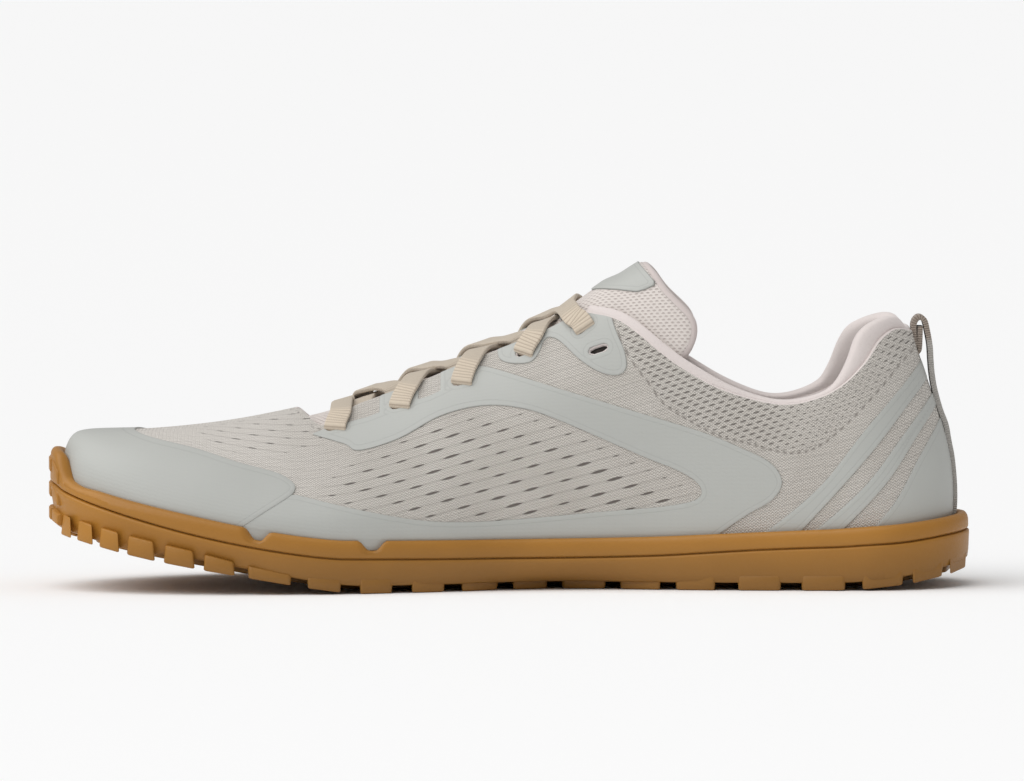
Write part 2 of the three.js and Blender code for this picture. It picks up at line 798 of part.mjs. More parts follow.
// Tongue, under the throat and up past the collar
const tongueRows = [
  { at: 0.375, rise: 1.3 },
  { at: 0.359, rise: 1.185 },
  { at: 0.342, rise: 1.125 },
  { at: 0.328, rise: 1.064 },
  { at: 0.304, rise: 0.99 },
  { at: 0.298, rise: 0.94 },
  { at: 0.301, rise: 0.882 },
  { at: 0.312, rise: 0.822 },
  { at: 0.342, rise: 0.74 },
  { at: 0.402, rise: 0.69 },
  { at: 0.511, rise: 0.572 },
  { at: 0.621, rise: 0.5 },
  { at: 0.708, rise: 0.5 },
  { at: 0.75, rise: 0.54 },
];
const tongueOut = -(wall + 2 * gap + 0.2);

function tongue() {
  const outline = [
    ...smoothLine(tongueRows, 24),
    sidePoint({ at: 0.75, rise: 0.8 }),
    sidePoint({ at: 0.6, rise: 1.3 }),
  ];
  return shell(tongueOut, tongueOut - tongueThickness).intersect(sideBlock(outline));
}

const patchRows = [
  { at: 0.436, rise: 0.93 },
  { at: 0.42, rise: 0.965 },
  { at: 0.409, rise: 0.995 },
  { at: 0.391, rise: 1.01 },
  { at: 0.37, rise: 1.02 },
  { at: 0.35, rise: 1.035 },
  { at: 0.341, rise: 1.06 },
];
const patchThickness = 0.7;
const patchWidth = 22;

function tonguePatch() {
  const outline = [
    ...smoothLine(patchRows, 10),
    sidePoint({ at: 0.366, rise: 1.3 }),
    sidePoint({ at: 0.436, rise: 1.3 }),
  ];
  const skin = shell(tongueOut + gap + patchThickness, tongueOut + gap);
  const strip = fromGeometry(new THREE.BoxGeometry(soleLength, patchWidth, 3 * above));
  return skin.intersect(sideBlock(outline)).intersect(strip);
}

// Padded roll round the collar: places along its top edge, inner side, heel, outer side
function collarFrames() {
  const line = new THREE.SplineCurve(collarLine.slice(1).map(sidePoint));
  const z = line.points.at(-1).y - 0.6;
  const back = skinPlace(0, z, 1);
  const half = (side) => {
    const flank = line
      .getPoints(18)
      .filter((p) => p.x < back.point.x - 3)
      .map((p) => onSkin(p.x, p.y, side));
    const heel = [0.6, 0.3, 0.08].map((share) => skinPlace(flank.at(-1).at * share, z, side));
    return [...flank, ...heel];
  };
  return [...half(-1), back, ...half(1).reverse()];
}

// Section of the roll, as shares: out from the skin by its thickness, up by rollHeight
const rollSection = [
  { out: 0.0, up: -0.3 },
  { out: 0.12, up: 0.4 },
  { out: 0.06, up: 0.75 },
  { out: -0.2, up: 0.98 },
  { out: -0.5, up: 1.0 },
  { out: -0.82, up: 0.85 },
  { out: -1.0, up: 0.45 },
  { out: -1.0, up: -0.6 },
];

function collarRoll() {
  const frames = collarFrames();
  const loops = frames.map(({ point, normal, at }, k) => {
    const before = frames[Math.max(k - 1, 0)].point;
    const after = frames[Math.min(k + 1, frames.length - 1)].point;
    const along = after.clone().sub(before).normalize();
    const up = normal.clone().cross(along).normalize();
    if (up.z < 0) up.negate();
    const padded = 1 - THREE.MathUtils.smoothstep(at, 0.22, 0.3);
    const thick = wall - gap + padded * padThickness;
    const tall = rollHeight * (1 + rollSwell * Math.exp(-(((at - 0.13) / 0.032) ** 2)));
    return rollSection.map(({ out, up: rise }) =>
      point
        .clone()
        .addScaledVector(normal, out < 0 ? out * thick : out * wall)
        .addScaledVector(up, rise * (rise < 0 ? rollHeight : tall)),
    );
  });
  return loft(loops, true).intersect(collarBlock().translate([0, 0, 1.5 * gap]));
}

// Padded lining of the heel, inside the upper
const padRows = [
  { at: 0.29, rise: 0.735 },
  { at: 0.3, rise: 0.6 },
  { at: 0.25, rise: 0.45 },
  { at: 0.184, rise: 0.39 },
  { at: 0.119, rise: 0.42 },
  { at: 0.07, rise: 0.5 },
  { at: -0.02, rise: 0.56 },
];

function heelPadding() {
  const skin = shell(-wall - gap, -wall - gap - padThickness);
  const lower = collarPoints.map((p) => new THREE.Vector2(p.x, p.y));
  const outline = [...smoothLine(padRows, 14), sidePoint({ at: -0.02, rise: 1.2 }),
    sidePoint({ at: 0.29, rise: 1.2 })];
  const cut = [
    new THREE.Vector2(lower[0].x, above),
    ...lower,
    new THREE.Vector2(soleLength / 2, lower.at(-1).y),
    new THREE.Vector2(soleLength / 2, above),
  ];
  return skin
    .intersect(sideBlock(outline))
    .subtract(sideBlock(cut));
}

// Pull tab: one length of webbing up the heel, over in a loop and down to the collar
const tabRows = [
  { rise: 0.905, off: 1.25 },
  { rise: 0.955, off: 1.4 },
  { rise: 0.998, off: 1.6 },
  { rise: 1.02, off: 2.8 },
  { rise: 1.008, off: 4.0 },
  { rise: 0.975, off: 4.3 },
  { rise: 0.92, off: 3.8 },
  { rise: 0.84, off: 2.4 },
  { rise: 0.76, off: 1.2 },
  { rise: 0.66, off: 0.95 },
  { rise: 0.55, off: 0.95 },
  { rise: 0.42, off: 0.95 },
  { rise: 0.315, off: 0.95 },
];

function pullTab() {
  const places = tabRows.map(({ rise, off }) => {
    const z = rise * heelHeight;
    return new THREE.Vector2(heightPoint(0, z, 1).x + off, z);
  });
  const line = new THREE.SplineCurve(places);
  const steps = 26;
  const half = webThickness / 2;
  const edge = (sign) =>
    Array.from({ length: steps + 1 }, (_, k) => {
      const turn = line.getTangent(k / steps);
      return line.getPoint(k / steps).add(new THREE.Vector2(-turn.y, turn.x).multiplyScalar(sign * half));
    });
  const shape = new THREE.Shape([...edge(1), ...edge(-1).reverse()]);
  const geometry = new THREE.ExtrudeGeometry(shape, { depth: webWidth, bevelEnabled: false });
  geometry.rotateX(Math.PI / 2);
  geometry.translate(0, webWidth / 2, 0);
  return fromGeometry(geometry).subtract(cupSolid(1.5 * gap));
}

// Laces: flat strips over the skin, from hole to hole across the throat
const skinMesh = (() => {
  const rows = skinGrid.slice(5, 21);
  const indices = [];
  for (let i = 0; i + 1 < rows.length; i++)
    for (let j = 0; j < across; j++) {
      const a = i * (across + 1) + j;
      indices.push(a, a + 1, a + across + 2, a, a + across + 2, a + across + 1);
    }
  const geometry = new THREE.BufferGeometry().setFromPoints(rows.flat());
  geometry.setIndex(indices);
  geometry.computeVertexNormals();
  return new THREE.Mesh(geometry, new THREE.MeshBasicMaterial({ side: THREE.DoubleSide }));
})();

function fromAbove(x, y) {
  const ray = new THREE.Raycaster(new THREE.Vector3(x, y, above), new THREE.Vector3(0, 0, -1));
  const hit = ray.intersectObject(skinMesh)[0];
  const normal = hit.normal.clone();
  if (normal.z < 0) normal.negate();
  return { point: hit.point, normal };
}

// Way of a lace: plan places with the height of the lace's middle above the skin
const seat = 3.5 * gap + overlay + laceThickness / 2;

function strap(stops) {
  const steps = 2 * (stops.length - 1);
  const centres = [];
  const normals = [];
  const marks = stops.map(({ x, y, lift }) => new THREE.Vector3(x, y, lift));
  for (let k = 0; k <= steps; k++) {
    const t = (k / steps) * (marks.length - 1);
    const i = Math.min(Math.floor(t), marks.length - 2);
    const { x, y, z: lift } = marks[i].clone().lerp(marks[i + 1], t - i);
    const { point, normal } = fromAbove(x, y);
    centres.push(point.addScaledVector(normal, lift));
    normals.push(normal);
  }
  const loops = centres.map((middle, k) => {
    const ahead = centres[Math.min(k + 1, steps)];
    const behind = centres[Math.max(k - 1, 0)];
    const along = ahead.clone().sub(behind).normalize();
    const wide = along.clone().cross(normals[k]).normalize();
    const thick = wide.clone().cross(along).normalize();
    return [[-1, -1], [1, -1], [1, 1], [-1, 1]].map(([w, h]) =>
      middle
        .clone()
        .addScaledVector(wide, (w * laceWidth) / 2)
        .addScaledVector(thick, (h * laceThickness) / 2),
    );
  });
  return loft(loops, true);
}

const holeAt = (index, side) => laceHoles[(side < 0 ? 0 : slots.length) + index].point;
const throatHalf = (x) => ballWidth * read([...throatLine].reverse(), "half", shareOf(x));

// Over the throat's edge the lace keeps its seat, then sinks towards the tongue
const edgeRoom = 4.6;
const sunk = 1;

function overEdge({ x, y }, slide) {
  const near = x + slide;
  return { x: near, y: Math.sign(y) * (throatHalf(near) - 0.5), lift: seat + 0.3 };
}

function laceBar() {
  const [inner, outer] = [holeAt(0, -1), holeAt(0, 1)];
  const seated = ({ x, y }) => ({ x, y, lift: seat });
  const middle = { x: (inner.x + outer.x) / 2, y: 0, lift: sunk + 0.6 };
  return strap([seated(inner), overEdge(inner, 0), middle, overEdge(outer, 0), seated(outer)]);
}

// Strip from a hole on one side to the far side: in under the edge, or over it to a hole
function crossing(from, side) {
  const start = holeAt(from, side);
  const end = holeAt(from + 1, -side);
  const middle = { x: (start.x + end.x) / 2, y: 0, lift: side < 0 ? sunk : sunk + 0.9 };
  const under = (x, s) => ({ x, y: s * (throatHalf(x) - edgeRoom), lift: 0.3 });
  const over = ({ x, y }, slide) => [{ x, y, lift: seat }, overEdge({ x, y }, slide)];
  const first = from === 0 ? [under(start.x + 6.8, side)] : over(start, 4);
  const last = from === 3 ? over(end, -4).reverse() : [under(end.x - 4, -side)];
  return strap([...first, middle, ...last]);
}

const laceCross = (from) => crossing(from, -1).add(crossing(from, 1));

// Scene graph: one named mesh for each piece
const colours = {
  rubber: { color: 0xb5782f, roughness: 0.6, metalness: 0 },
  knit: { color: 0xcfc8be, roughness: 0.95, metalness: 0 },
  film: { color: 0xb9bab3, roughness: 0.6, metalness: 0 },
  lining: { color: 0xd5c8c2, roughness: 0.95, metalness: 0 },
  tongueMesh: { color: 0xdfd2cb, roughness: 0.95, metalness: 0 },
  lace: { color: 0xcbbda8, roughness: 0.9, metalness: 0 },
  webbing: { color: 0x9f958a, roughness: 0.9, metalness: 0 },
  footbed: { color: 0xb7b2a8, roughness: 0.95, metalness: 0 },
};

const shoe = new THREE.Group();
const sole = outsole();
const { min, max } = sole.boundingBox();
const toCentre = [-(min[0] + max[0]) / 2, -(min[1] + max[1]) / 2, 0];

function place(name, solid, finish) {
  const placed = solid.simplify(0.09).translate(toCentre);
  const { numProp, numVert, vertProperties, triVerts } = placed.getMesh();
  const positions = new Float32Array(numVert * 3);
  for (let i = 0; i < numVert; i++)
    positions.set(vertProperties.subarray(i * numProp, i * numProp + 3), i * 3);
  const geometry = new THREE.BufferGeometry();
  geometry.setAttribute("position", new THREE.BufferAttribute(positions, 3));
  geometry.setIndex(new THREE.BufferAttribute(triVerts, 1));
  geometry.computeVertexNormals();
  const mesh = new THREE.Mesh(geometry, new THREE.MeshStandardMaterial(colours[finish]));
  mesh.name = name;
  shoe.add(mesh);
}

place("outsole", sole, "rubber");
place("insole", insole(), "footbed");
place("upper", upper, "knit");
place("toe_cap", film.intersect(sideBlock(toeCapOutline())), "film");
for (const [word, side] of [["inner", -1], ["outer", 1]]) {
  place(word + "_saddle", saddle(side), "film");
  place(word + "_eyestay", eyestay(side), "film");
  for (const piece of stripes) place(word + "_" + piece.name, stripe(piece, side), "film");
}
place("tongue", tongue(), "tongueMesh");
place("tongue_patch", tonguePatch(), "film");
place("collar_roll", collarRoll(), "lining");
place("heel_padding", heelPadding(), "lining");
place("pull_tab", pullTab(), "webbing");
place("lace_bar", laceBar(), "lace");
for (let from = 0; from < 4; from++) place("lace_cross_" + (from + 1), laceCross(from), "lace");

export default shoe;
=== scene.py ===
# Barefoot shoe, right foot: the dressed model around the imported frame.
# Lengths in the dictionaries are millimetres.
import math

import bpy
import numpy as np
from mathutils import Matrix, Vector
from mathutils.bvhtree import BVHTree
from mathutils.kdtree import KDTree


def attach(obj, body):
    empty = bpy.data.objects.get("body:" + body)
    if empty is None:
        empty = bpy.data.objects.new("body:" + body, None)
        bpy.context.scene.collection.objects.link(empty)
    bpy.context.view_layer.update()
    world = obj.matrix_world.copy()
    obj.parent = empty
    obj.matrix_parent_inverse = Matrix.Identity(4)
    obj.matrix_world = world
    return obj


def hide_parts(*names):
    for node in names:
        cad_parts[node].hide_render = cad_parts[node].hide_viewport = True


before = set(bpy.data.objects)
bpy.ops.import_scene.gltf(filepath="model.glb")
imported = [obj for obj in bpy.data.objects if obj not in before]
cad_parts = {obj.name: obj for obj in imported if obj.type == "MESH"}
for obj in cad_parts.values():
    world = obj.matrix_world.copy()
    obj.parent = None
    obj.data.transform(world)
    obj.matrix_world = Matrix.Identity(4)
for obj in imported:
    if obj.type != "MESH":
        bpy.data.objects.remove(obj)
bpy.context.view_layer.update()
print("frame loaded:", len(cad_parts), "nodes")

# Camera, lights and floor
studio = {
    "aim": (0.0005, 0.0, 0.059),
    "distance": 3.0,
    "elevation": 2.7,
    "viewWidth": 0.3126,
    "floorSize": 120.0,
    "floorTone": (0.97, 0.97, 0.97, 1),
    "floorRough": 0.9,
    "sensor": 36,
    "worldLight": 0.44,
    "keyLight": 2.05,
    "keyFrom": (-0.55, -0.3, 1.0),
    "keySpread": 70,
    "fillLight": 1.2,
    "fillFrom": (-0.9, -1.6, 0.8),
    "fillAim": (0, 0, 0.03),
    "fillSize": 1.0,
}


def deselectAll():
    if bpy.context.object and bpy.context.object.mode != "OBJECT":
        bpy.ops.object.mode_set(mode="OBJECT")
    bpy.ops.object.select_all(action="DESELECT")


def buildStudio(s):
    deselectAll()
    tilt = math.radians(s["elevation"])
    aim = Vector(s["aim"])
    place = aim + s["distance"] * Vector((0, -math.cos(tilt), math.sin(tilt)))
    bpy.ops.object.camera_add(location=place, rotation=(math.pi / 2 - tilt, 0, 0))
    camera = bpy.context.object
    camera.data.sensor_width = s["sensor"]
    camera.data.lens = s["sensor"] * s["distance"] / s["viewWidth"]
    camera.data.clip_end = 100
    bpy.context.scene.camera = camera

    world = bpy.data.worlds.new("studioWorld")
    world.use_nodes = True
    background = world.node_tree.nodes["Background"]
    background.inputs["Color"].default_value = (1, 1, 1, 1)
    background.inputs["Strength"].default_value = s["worldLight"]
    bpy.context.scene.world = world

    bpy.ops.object.light_add(type="SUN", location=(0, 0, 2))
    key = bpy.context.object
    key.name = "softKey"
    key.data.energy = s["keyLight"]
    key.data.angle = math.radians(s["keySpread"])
    key.rotation_euler = Vector(s["keyFrom"]).to_track_quat("Z", "Y").to_euler()
    bpy.ops.object.light_add(type="AREA", location=s["fillFrom"])
    fill = bpy.context.object
    fill.name = "frontFill"
    fill.data.size = s["fillSize"]
    fill.data.energy = s["fillLight"]
    toward = Vector(s["fillAim"]) - fill.location
    fill.rotation_euler = toward.to_track_quat("-Z", "Y").to_euler()
    bpy.context.scene.view_settings.view_transform = "Standard"

    bpy.ops.mesh.primitive_plane_add(size=s["floorSize"], location=(0, 0, 0))
    floor = bpy.context.object
    floor.name = "studioFloor"
    paper = bpy.data.materials.new("floorPaper")
    paper.use_nodes = True
    shader = paper.node_tree.nodes["Principled BSDF"]
    shader.inputs["Base Color"].default_value = s["floorTone"]
    shader.inputs["Roughness"].default_value = s["floorRough"]
    floor.data.materials.append(paper)


buildStudio(studio)
print("studio set")

# Sizes of the last and the sole, as in the frame
shoe = {
    "length": 280.0,
    "ballWidth": 106.0,
    "instepHeight": 85.0,
    "heelHeight": 79.5,
    "toeSpring": 17.5,
    "heelBevel": 6.0,
    "wallHeight": 16.0,
    "lugDepth": 3.3,
    "slab": 4.7,
    "rimWall": 4.4,
    "archTuck": 9.0,
    "wall": 2.0,
    "gap": 0.3,
    "shift": (0.09, 0.41, 0.0),
}
plan = {
    "at": [0, 0.12, 0.25, 0.38, 0.5, 0.6, 0.7, 0.79, 0.88, 1],
    "swing": [0, 0, 0, 0, 0, -0.005, -0.015, -0.045, -0.095, -0.155],
    "inner": [0.335, 0.335, 0.32, 0.3, 0.335, 0.41, 0.48, 0.468, 0.405, 0.34],
    "outer": [0.335, 0.345, 0.345, 0.358, 0.41, 0.475, 0.52, 0.505, 0.455, 0.37],
    "heelRound": (0.125, 2.2),
    "toeRound": (0.17, 2.3),
}
wallLines = {
    "at": [0, 0.03, 0.075, 0.12, 0.228, 0.36, 0.55, 0.73, 0.85, 0.948, 0.983, 0.993, 1],
    "groove": [0.7, 0.76, 0.8, 0.83, 0.77, 0.64, 0.62, 0.675, 0.72, 0.8, 0.86, 0.92, 0.94],
    "rim": [1.02, 1.08, 1.14, 1.17, 1.1, 1, 0.975, 1.02, 1.05, 1.05, 1.1, 1.5, 1.58],
}
last = {
    "at": [0, 0.12, 0.25, 0.33, 0.38, 0.43, 0.5, 0.57, 0.65, 0.72, 0.76, 0.82, 0.88, 0.94, 1],
    "instep": [0, 0, 0.64, 1.19, 1.1, 1, 0.895, 0.811, 0.726, 0.66, 0.632, 0.597, 0.574,
               0.562, 0.562],
    "heel": [1.284, 1.37, 0.7, 0, 0, 0, 0, 0, 0, 0, 0, 0, 0, 0, 0],
    "belly": [1, 1, 1, 1.03, 1.05, 1.06, 1.06, 1.04, 1.01, 1, 1, 1, 1.01, 1.02, 1.02],
    "shoulder": [0.95, 0.93, 0.96, 0.95, 0.9, 0.86, 0.79, 0.72, 0.66, 0.66, 0.7, 0.77,
                 0.82, 0.88, 0.9],
    "crown": [0.85, 0.82, 0.8, 0.64, 0.54, 0.47, 0.39, 0.33, 0.27, 0.27, 0.31, 0.38,
              0.46, 0.52, 0.55],
}
levels = [  # name, share of the height, heel and toe draw in
    ("foot", 0.0, 0.002, 0.006),
    ("belly", 0.3, 0.0065, 0.0),
    ("shoulder", 0.68, 0.043, 0.002),
    ("crown", 0.95, 0.063, 0.014),
    ("top", 1.0, 0.072, 0.045),
]


def readRows(table, column, at):
    places, values = np.array(table["at"], float), np.array(table[column], float)
    i = np.clip(np.searchsorted(places, at, side="left") - 1, 0, len(places) - 2)
    before, after = np.maximum(i - 1, 0), np.minimum(i + 2, len(places) - 1)
    a, b = values[i], values[i + 1]
    span = places[i + 1] - places[i]
    slopeA = (b - values[before]) / (places[i + 1] - places[before]) * span
    slopeB = (values[after] - a) / (places[after] - places[i]) * span
    t = np.clip((at - places[i]) / span, 0, 1)
    h = t * t * (3 - 2 * t)
    return a + (b - a) * h + slopeA * t * (1 - t) ** 2 - slopeB * t * t * (1 - t)


def unit(rows):
    return rows / np.linalg.norm(rows, axis=-1, keepdims=True)


def runOf(line):  # length from the start of a line to each of its points
    return np.concatenate([[0], np.cumsum(np.linalg.norm(np.diff(line, axis=0), axis=-1))])


def relax(rows, rounds):
    for _ in range(rounds):
        rows[1:-1] = (rows[:-2] + 2 * rows[1:-1] + rows[2:]) / 4


def relaxUnits(rows, rounds):
    for _ in range(rounds):
        rows[1:-1] = rows[:-2] + 2 * rows[1:-1] + rows[2:]
        rows[:] = unit(rows)


def spline(p, q, r, s, u):
    return q + 0.5 * u * (r - p + u * (2 * p - 5 * q + 4 * r - s + u * (3 * (q - r) + s - p)))


def shareAt(s):  # share of the length at s, which runs closer at both ends
    return (1 - np.cos(np.pi * s)) / 2


def roundEnd(at):
    def arc(u, power):
        return (1 - np.clip(u, 0, 1) ** power) ** (1 / power)

    heelReach, heelPower = plan["heelRound"]
    toeReach, toePower = plan["toeRound"]
    return arc(1 - at / heelReach, heelPower) * arc(1 - (1 - at) / toeReach, toePower)


def planPoint(at, side, inset):
    half = shoe["ballWidth"] * np.where(
        np.asarray(side) < 0, readRows(plan, "inner", at), readRows(plan, "outer", at))
    x = (shoe["length"] / 2 - inset) * (1 - 2 * at)
    y = shoe["ballWidth"] * readRows(plan, "swing", at) + side * (half - inset) * roundEnd(at)
    return x, y


def shareOf(x):
    return np.clip(0.5 - np.asarray(x) / shoe["length"], 0, 1)


def tread(at):
    toe = np.maximum(0, (at - 0.68) / 0.32)
    heel = np.maximum(0, (0.16 - at) / 0.16)
    return shoe["toeSpring"] * toe ** 1.45 + shoe["heelBevel"] * heel ** 2


def baseLine(at):
    return tread(at) + shoe["lugDepth"]


def floorLine(at):
    return baseLine(at) + shoe["slab"]


def grooveLine(at):
    return tread(at) + shoe["wallHeight"] * readRows(wallLines, "groove", at)


def rimLine(at):
    return tread(at) + shoe["wallHeight"] * readRows(wallLines, "rim", at)


def tuck(at, side):
    hollow = np.exp(-(((at - 0.45) / 0.085) ** 2))
    return np.where(np.asarray(side) < 0, shoe["archTuck"], 0) * hollow


def smoothstep(value, low, high):
    t = np.clip((value - low) / (high - low), 0, 1)
    return t * t * (3 - 2 * t)


def sidePoint(at, rise):
    front = smoothstep(at, 0.15, 0.35)
    height = shoe["heelHeight"] + (shoe["instepHeight"] - shoe["heelHeight"]) * front
    return shoe["length"] * (0.5 - at), rise * height


def sectionControls(at):
    low = floorLine(at) + shoe["gap"]
    top = (shoe["instepHeight"] * readRows(last, "instep", at)
           + shoe["heelHeight"] * readRows(last, "heel", at))
    middle = shoe["ballWidth"] * readRows(plan, "swing", at)
    flanks = []
    for side in (-1, 1):
        x, y = planPoint(at, side, shoe["rimWall"])
        flank = []
        for name, up, heelIn, toeIn in levels:
            share = {"foot": 1.0, "top": 0.0}.get(name)
            if share is None:
                share = readRows(last, name, at)
            shift = shoe["length"] * (toeIn * at ** 3 - heelIn * (1 - at) ** 3)
            flank.append(np.stack(
                [x + shift, middle + (y - middle) * share, low + (top - low) * up], -1))
        flanks.append(flank)
    return np.stack(flanks[0] + flanks[1][:-1][::-1], -2)


def alongSection(controls, t):
    first = 2 * controls[..., :1, :] - controls[..., 1:2, :]
    final = 2 * controls[..., -1:, :] - controls[..., -2:-1, :]
    rows = np.concatenate([first, controls, final], -2)
    spans = controls.shape[-2] - 1
    i = np.clip(np.floor(t * spans).astype(int), 0, spans - 1)
    u = (t * spans - i)[..., None]
    p, q, r, s = (np.take_along_axis(rows, (i + k)[..., None, None], -2)[..., 0, :]
                  for k in range(4))
    return spline(p, q, r, s, u)


# Place on the last: s runs from heel to toe, t from the inner foot over the ridge
def skinPoint(s, t):
    s, t = np.broadcast_arrays(np.asarray(s, float), np.asarray(t, float))
    beyond = (s < 0) | (s > 1)
    t = np.clip(np.where(beyond, 1 - t, t), 0, 1)
    s = np.where(s < 0, -s, np.where(s > 1, 2 - s, s))
    return alongSection(sectionControls(shareAt(s)), t)


def skinNormal(s, t):
    stepS, stepT = 0.003, 0.006

    def cross(shiftT):
        tt = np.clip(t + shiftT, 0, 1)
        along = skinPoint(s + stepS, tt) - skinPoint(s - stepS, tt)
        up = skinPoint(s, np.minimum(tt + stepT, 1)) - skinPoint(s, np.maximum(tt - stepT, 0))
        return np.cross(up, along)

    normal = cross(0)
    size = np.linalg.norm(normal, axis=-1, keepdims=True)
    spare = cross(0.02) + cross(-0.02)
    normal = np.where(size < 1e-3, spare, normal)
    return normal / np.maximum(np.linalg.norm(normal, axis=-1, keepdims=True), 1e-9)


def stationOf(at):
    return np.arccos(np.clip(1 - 2 * np.asarray(at, float), -1, 1)) / np.pi


def halve(before, low, high):  # narrows each span to where before turns false
    for _ in range(26):
        middle = (low + high) / 2
        short = before(middle)
        low, high = np.where(short, middle, low), np.where(short, high, middle)
    return low, high


def heightPlace(at, z, side):
    def under(t):
        return skinPoint(stationOf(at), t if side < 0 else 1 - t)[..., 2] < z

    low, _ = halve(under, np.zeros(np.shape(z)), np.full(np.shape(z), 0.5))
    return low if side < 0 else 1 - low


def sidePlace(x, z, side):  # s and t of a place in the side view
    x, z = np.asarray(x, float), np.asarray(z, float)

    def behind(at):
        return skinPoint(stationOf(at), heightPlace(at, z, side))[..., 0] > x

    heel, toe = halve(behind, np.zeros(x.shape), np.ones(x.shape))
    at = (heel + toe) / 2
    return stationOf(at), heightPlace(at, z, side)


# Pattern place of a point: along the foot, girth from the sole
girthTable = {"s": np.linspace(0, 1, 121), "t": np.linspace(0, 1, 97),
              "bellyColumn": 12}


def fillGirth(table):
    s, t = np.meshgrid(table["s"], table["t"], indexing="ij")
    points = skinPoint(s, t)
    steps = np.linalg.norm(np.diff(points, axis=1), axis=-1)
    length = np.concatenate([np.zeros((len(s), 1)), np.cumsum(steps, 1)], 1)
    table["girth"] = np.minimum(length, length[:, -1:] - length)
    table["along"] = runOf(points[:, table["bellyColumn"]])


fillGirth(girthTable)


def patternPlace(s, t):
    rows, columns = len(girthTable["s"]) - 1, len(girthTable["t"]) - 1
    i = np.clip((s * rows).astype(int), 0, rows - 1)
    j = np.clip((t * columns).astype(int), 0, columns - 1)
    a, b = s * rows - i, t * columns - j
    g = girthTable["girth"]
    girth = ((1 - a) * (1 - b) * g[i, j] + a * (1 - b) * g[i + 1, j]
             + (1 - a) * b * g[i, j + 1] + a * b * g[i + 1, j + 1])
    along = np.interp(s, girthTable["s"], girthTable["along"])
    return np.stack([along, girth, np.zeros(girth.shape)], -1)


def smoothLine(rows, perSpan=8):  # rows as shares of length and height
    return smoothPoints([sidePoint(*row) for row in rows], perSpan)


def smoothPoints(points, perSpan=8):
    points = np.asarray(points, float)
    rows = np.vstack([points[:1], points, points[-1:]])
    line = [spline(*rows[k:k + 4], u) for k in range(len(points) - 1)
            for u in np.arange(perSpan) / perSpan]
    return np.array(line + [points[-1]])


def inside(outline, x, z):  # distance to an outline, positive within it
    best = np.full(np.shape(x), 1e9)
    odd = np.zeros(np.shape(x), bool)
    for (ax, az), (bx, bz) in zip(outline, np.roll(outline, -1, axis=0)):
        dx, dz = bx - ax, bz - az
        share = np.clip(((x - ax) * dx + (z - az) * dz) / (dx * dx + dz * dz + 1e-9), 0, 1)
        best = np.minimum(best, np.hypot(x - ax - share * dx, z - az - share * dz))
        odd ^= ((az > z) != (bz > z)) & (x < dx * (z - az) / (dz if abs(dz) > 1e-9 else 1e-9) + ax)
    return np.where(odd, best, -best)


def insideView(outline, points):  # the same for points seen from the side
    return inside(outline, points[..., 0], points[..., 2])


def gridOf(ranges):
    return [np.linspace(*row) for row in ranges]


# A sheet on the last, cut to where its field is positive: grid corners near the
# outline slide onto it, and what lies outside falls away
def cutSheet(s, t, field):
    s, t = np.meshgrid(s, t, indexing="ij")
    f = field(skinPoint(s, t), s, t)
    newS, newT = s.copy(), t.copy()
    nearest = np.full(f.shape, 0.5001)
    for axis in (0, 1):
        one = tuple(slice(None, -1) if k == axis else slice(None) for k in (0, 1))
        two = tuple(slice(1, None) if k == axis else slice(None) for k in (0, 1))
        crossing = f[one] * f[two] < 0
        share = np.where(crossing, f[one] / (f[one] - f[two] + (f[one] == f[two])), 1)
        for here, other, part in ((one, two, share), (two, one, 1 - share)):
            hit = crossing & (part < nearest[here])
            nearest[here][hit] = part[hit]
            newS[here][hit] = (s[here] + part * (s[other] - s[here]))[hit]
            newT[here][hit] = (t[here] + part * (t[other] - t[here]))[hit]
    f = np.where(nearest <= 0.5, 0, f)
    count = f.size
    ids = np.arange(count).reshape(f.shape)
    for row in (0, -1):  # both flanks share the points of a closed end
        if s[row, 0] in (0.0, 1.0):
            half = f.shape[1] // 2
            if np.allclose(t[0], 1 - t[0, ::-1]):
                ids[row, -half:] = ids[row, :half][::-1]
    corners = [ids[:-1, :-1], ids[:-1, 1:], ids[1:, 1:], ids[1:, :-1]]
    flat = f.ravel()
    values = [flat[c] for c in corners]
    outside = sum((v < 0).astype(int) for v in values)
    some = np.any([v > 0 for v in values], axis=0)
    faces = [np.stack([c[(outside == 0) & some] for c in corners], -1)]
    for k in range(4):
        cut = (outside == 1) & some & (values[k] < 0)
        faces.append(np.stack([corners[(k + n) % 4][cut] for n in (1, 2, 3)], -1))
    used = np.unique(np.concatenate([part.ravel() for part in faces]))
    place = np.zeros(count, int)
    place[used] = np.arange(len(used))
    faces = [place[part] for part in faces if len(part)]
    s, t = newS.ravel()[used], newT.ravel()[used]
    return {"s": s, "t": t, "faces": faces, "points": skinPoint(s, t),
            "normals": skinNormal(s, t), "patternPlace": patternPlace(s, t)}


def rimOf(faces):  # border edges with the sheet on their left
    edges = np.concatenate([np.stack([part, np.roll(part, -1, axis=1)], -1).reshape(-1, 2)
                            for part in faces])
    edges = edges[edges[:, 0] != edges[:, 1]]
    count = edges.max() + 1
    lonely = ~np.isin(edges[:, 1] * count + edges[:, 0], edges[:, 0] * count + edges[:, 1])
    return edges[lonely]


def insetOf(sheet):  # distance of each point from the border
    border = sheet["points"][rimOf(sheet["faces"])[:, 0]]
    tree = KDTree(len(border))
    for k, point in enumerate(border):
        tree.insert(point, k)
    tree.balance()
    return np.array([tree.find(point)[2] for point in sheet["points"]])


def plumpAt(sheet, width):  # rises from 0 at the border to 1 in a quarter circle
    inward = 1 - np.clip(insetOf(sheet) / width, 0, 1)
    return np.sqrt(np.clip(1 - inward ** 2, 0, 1))


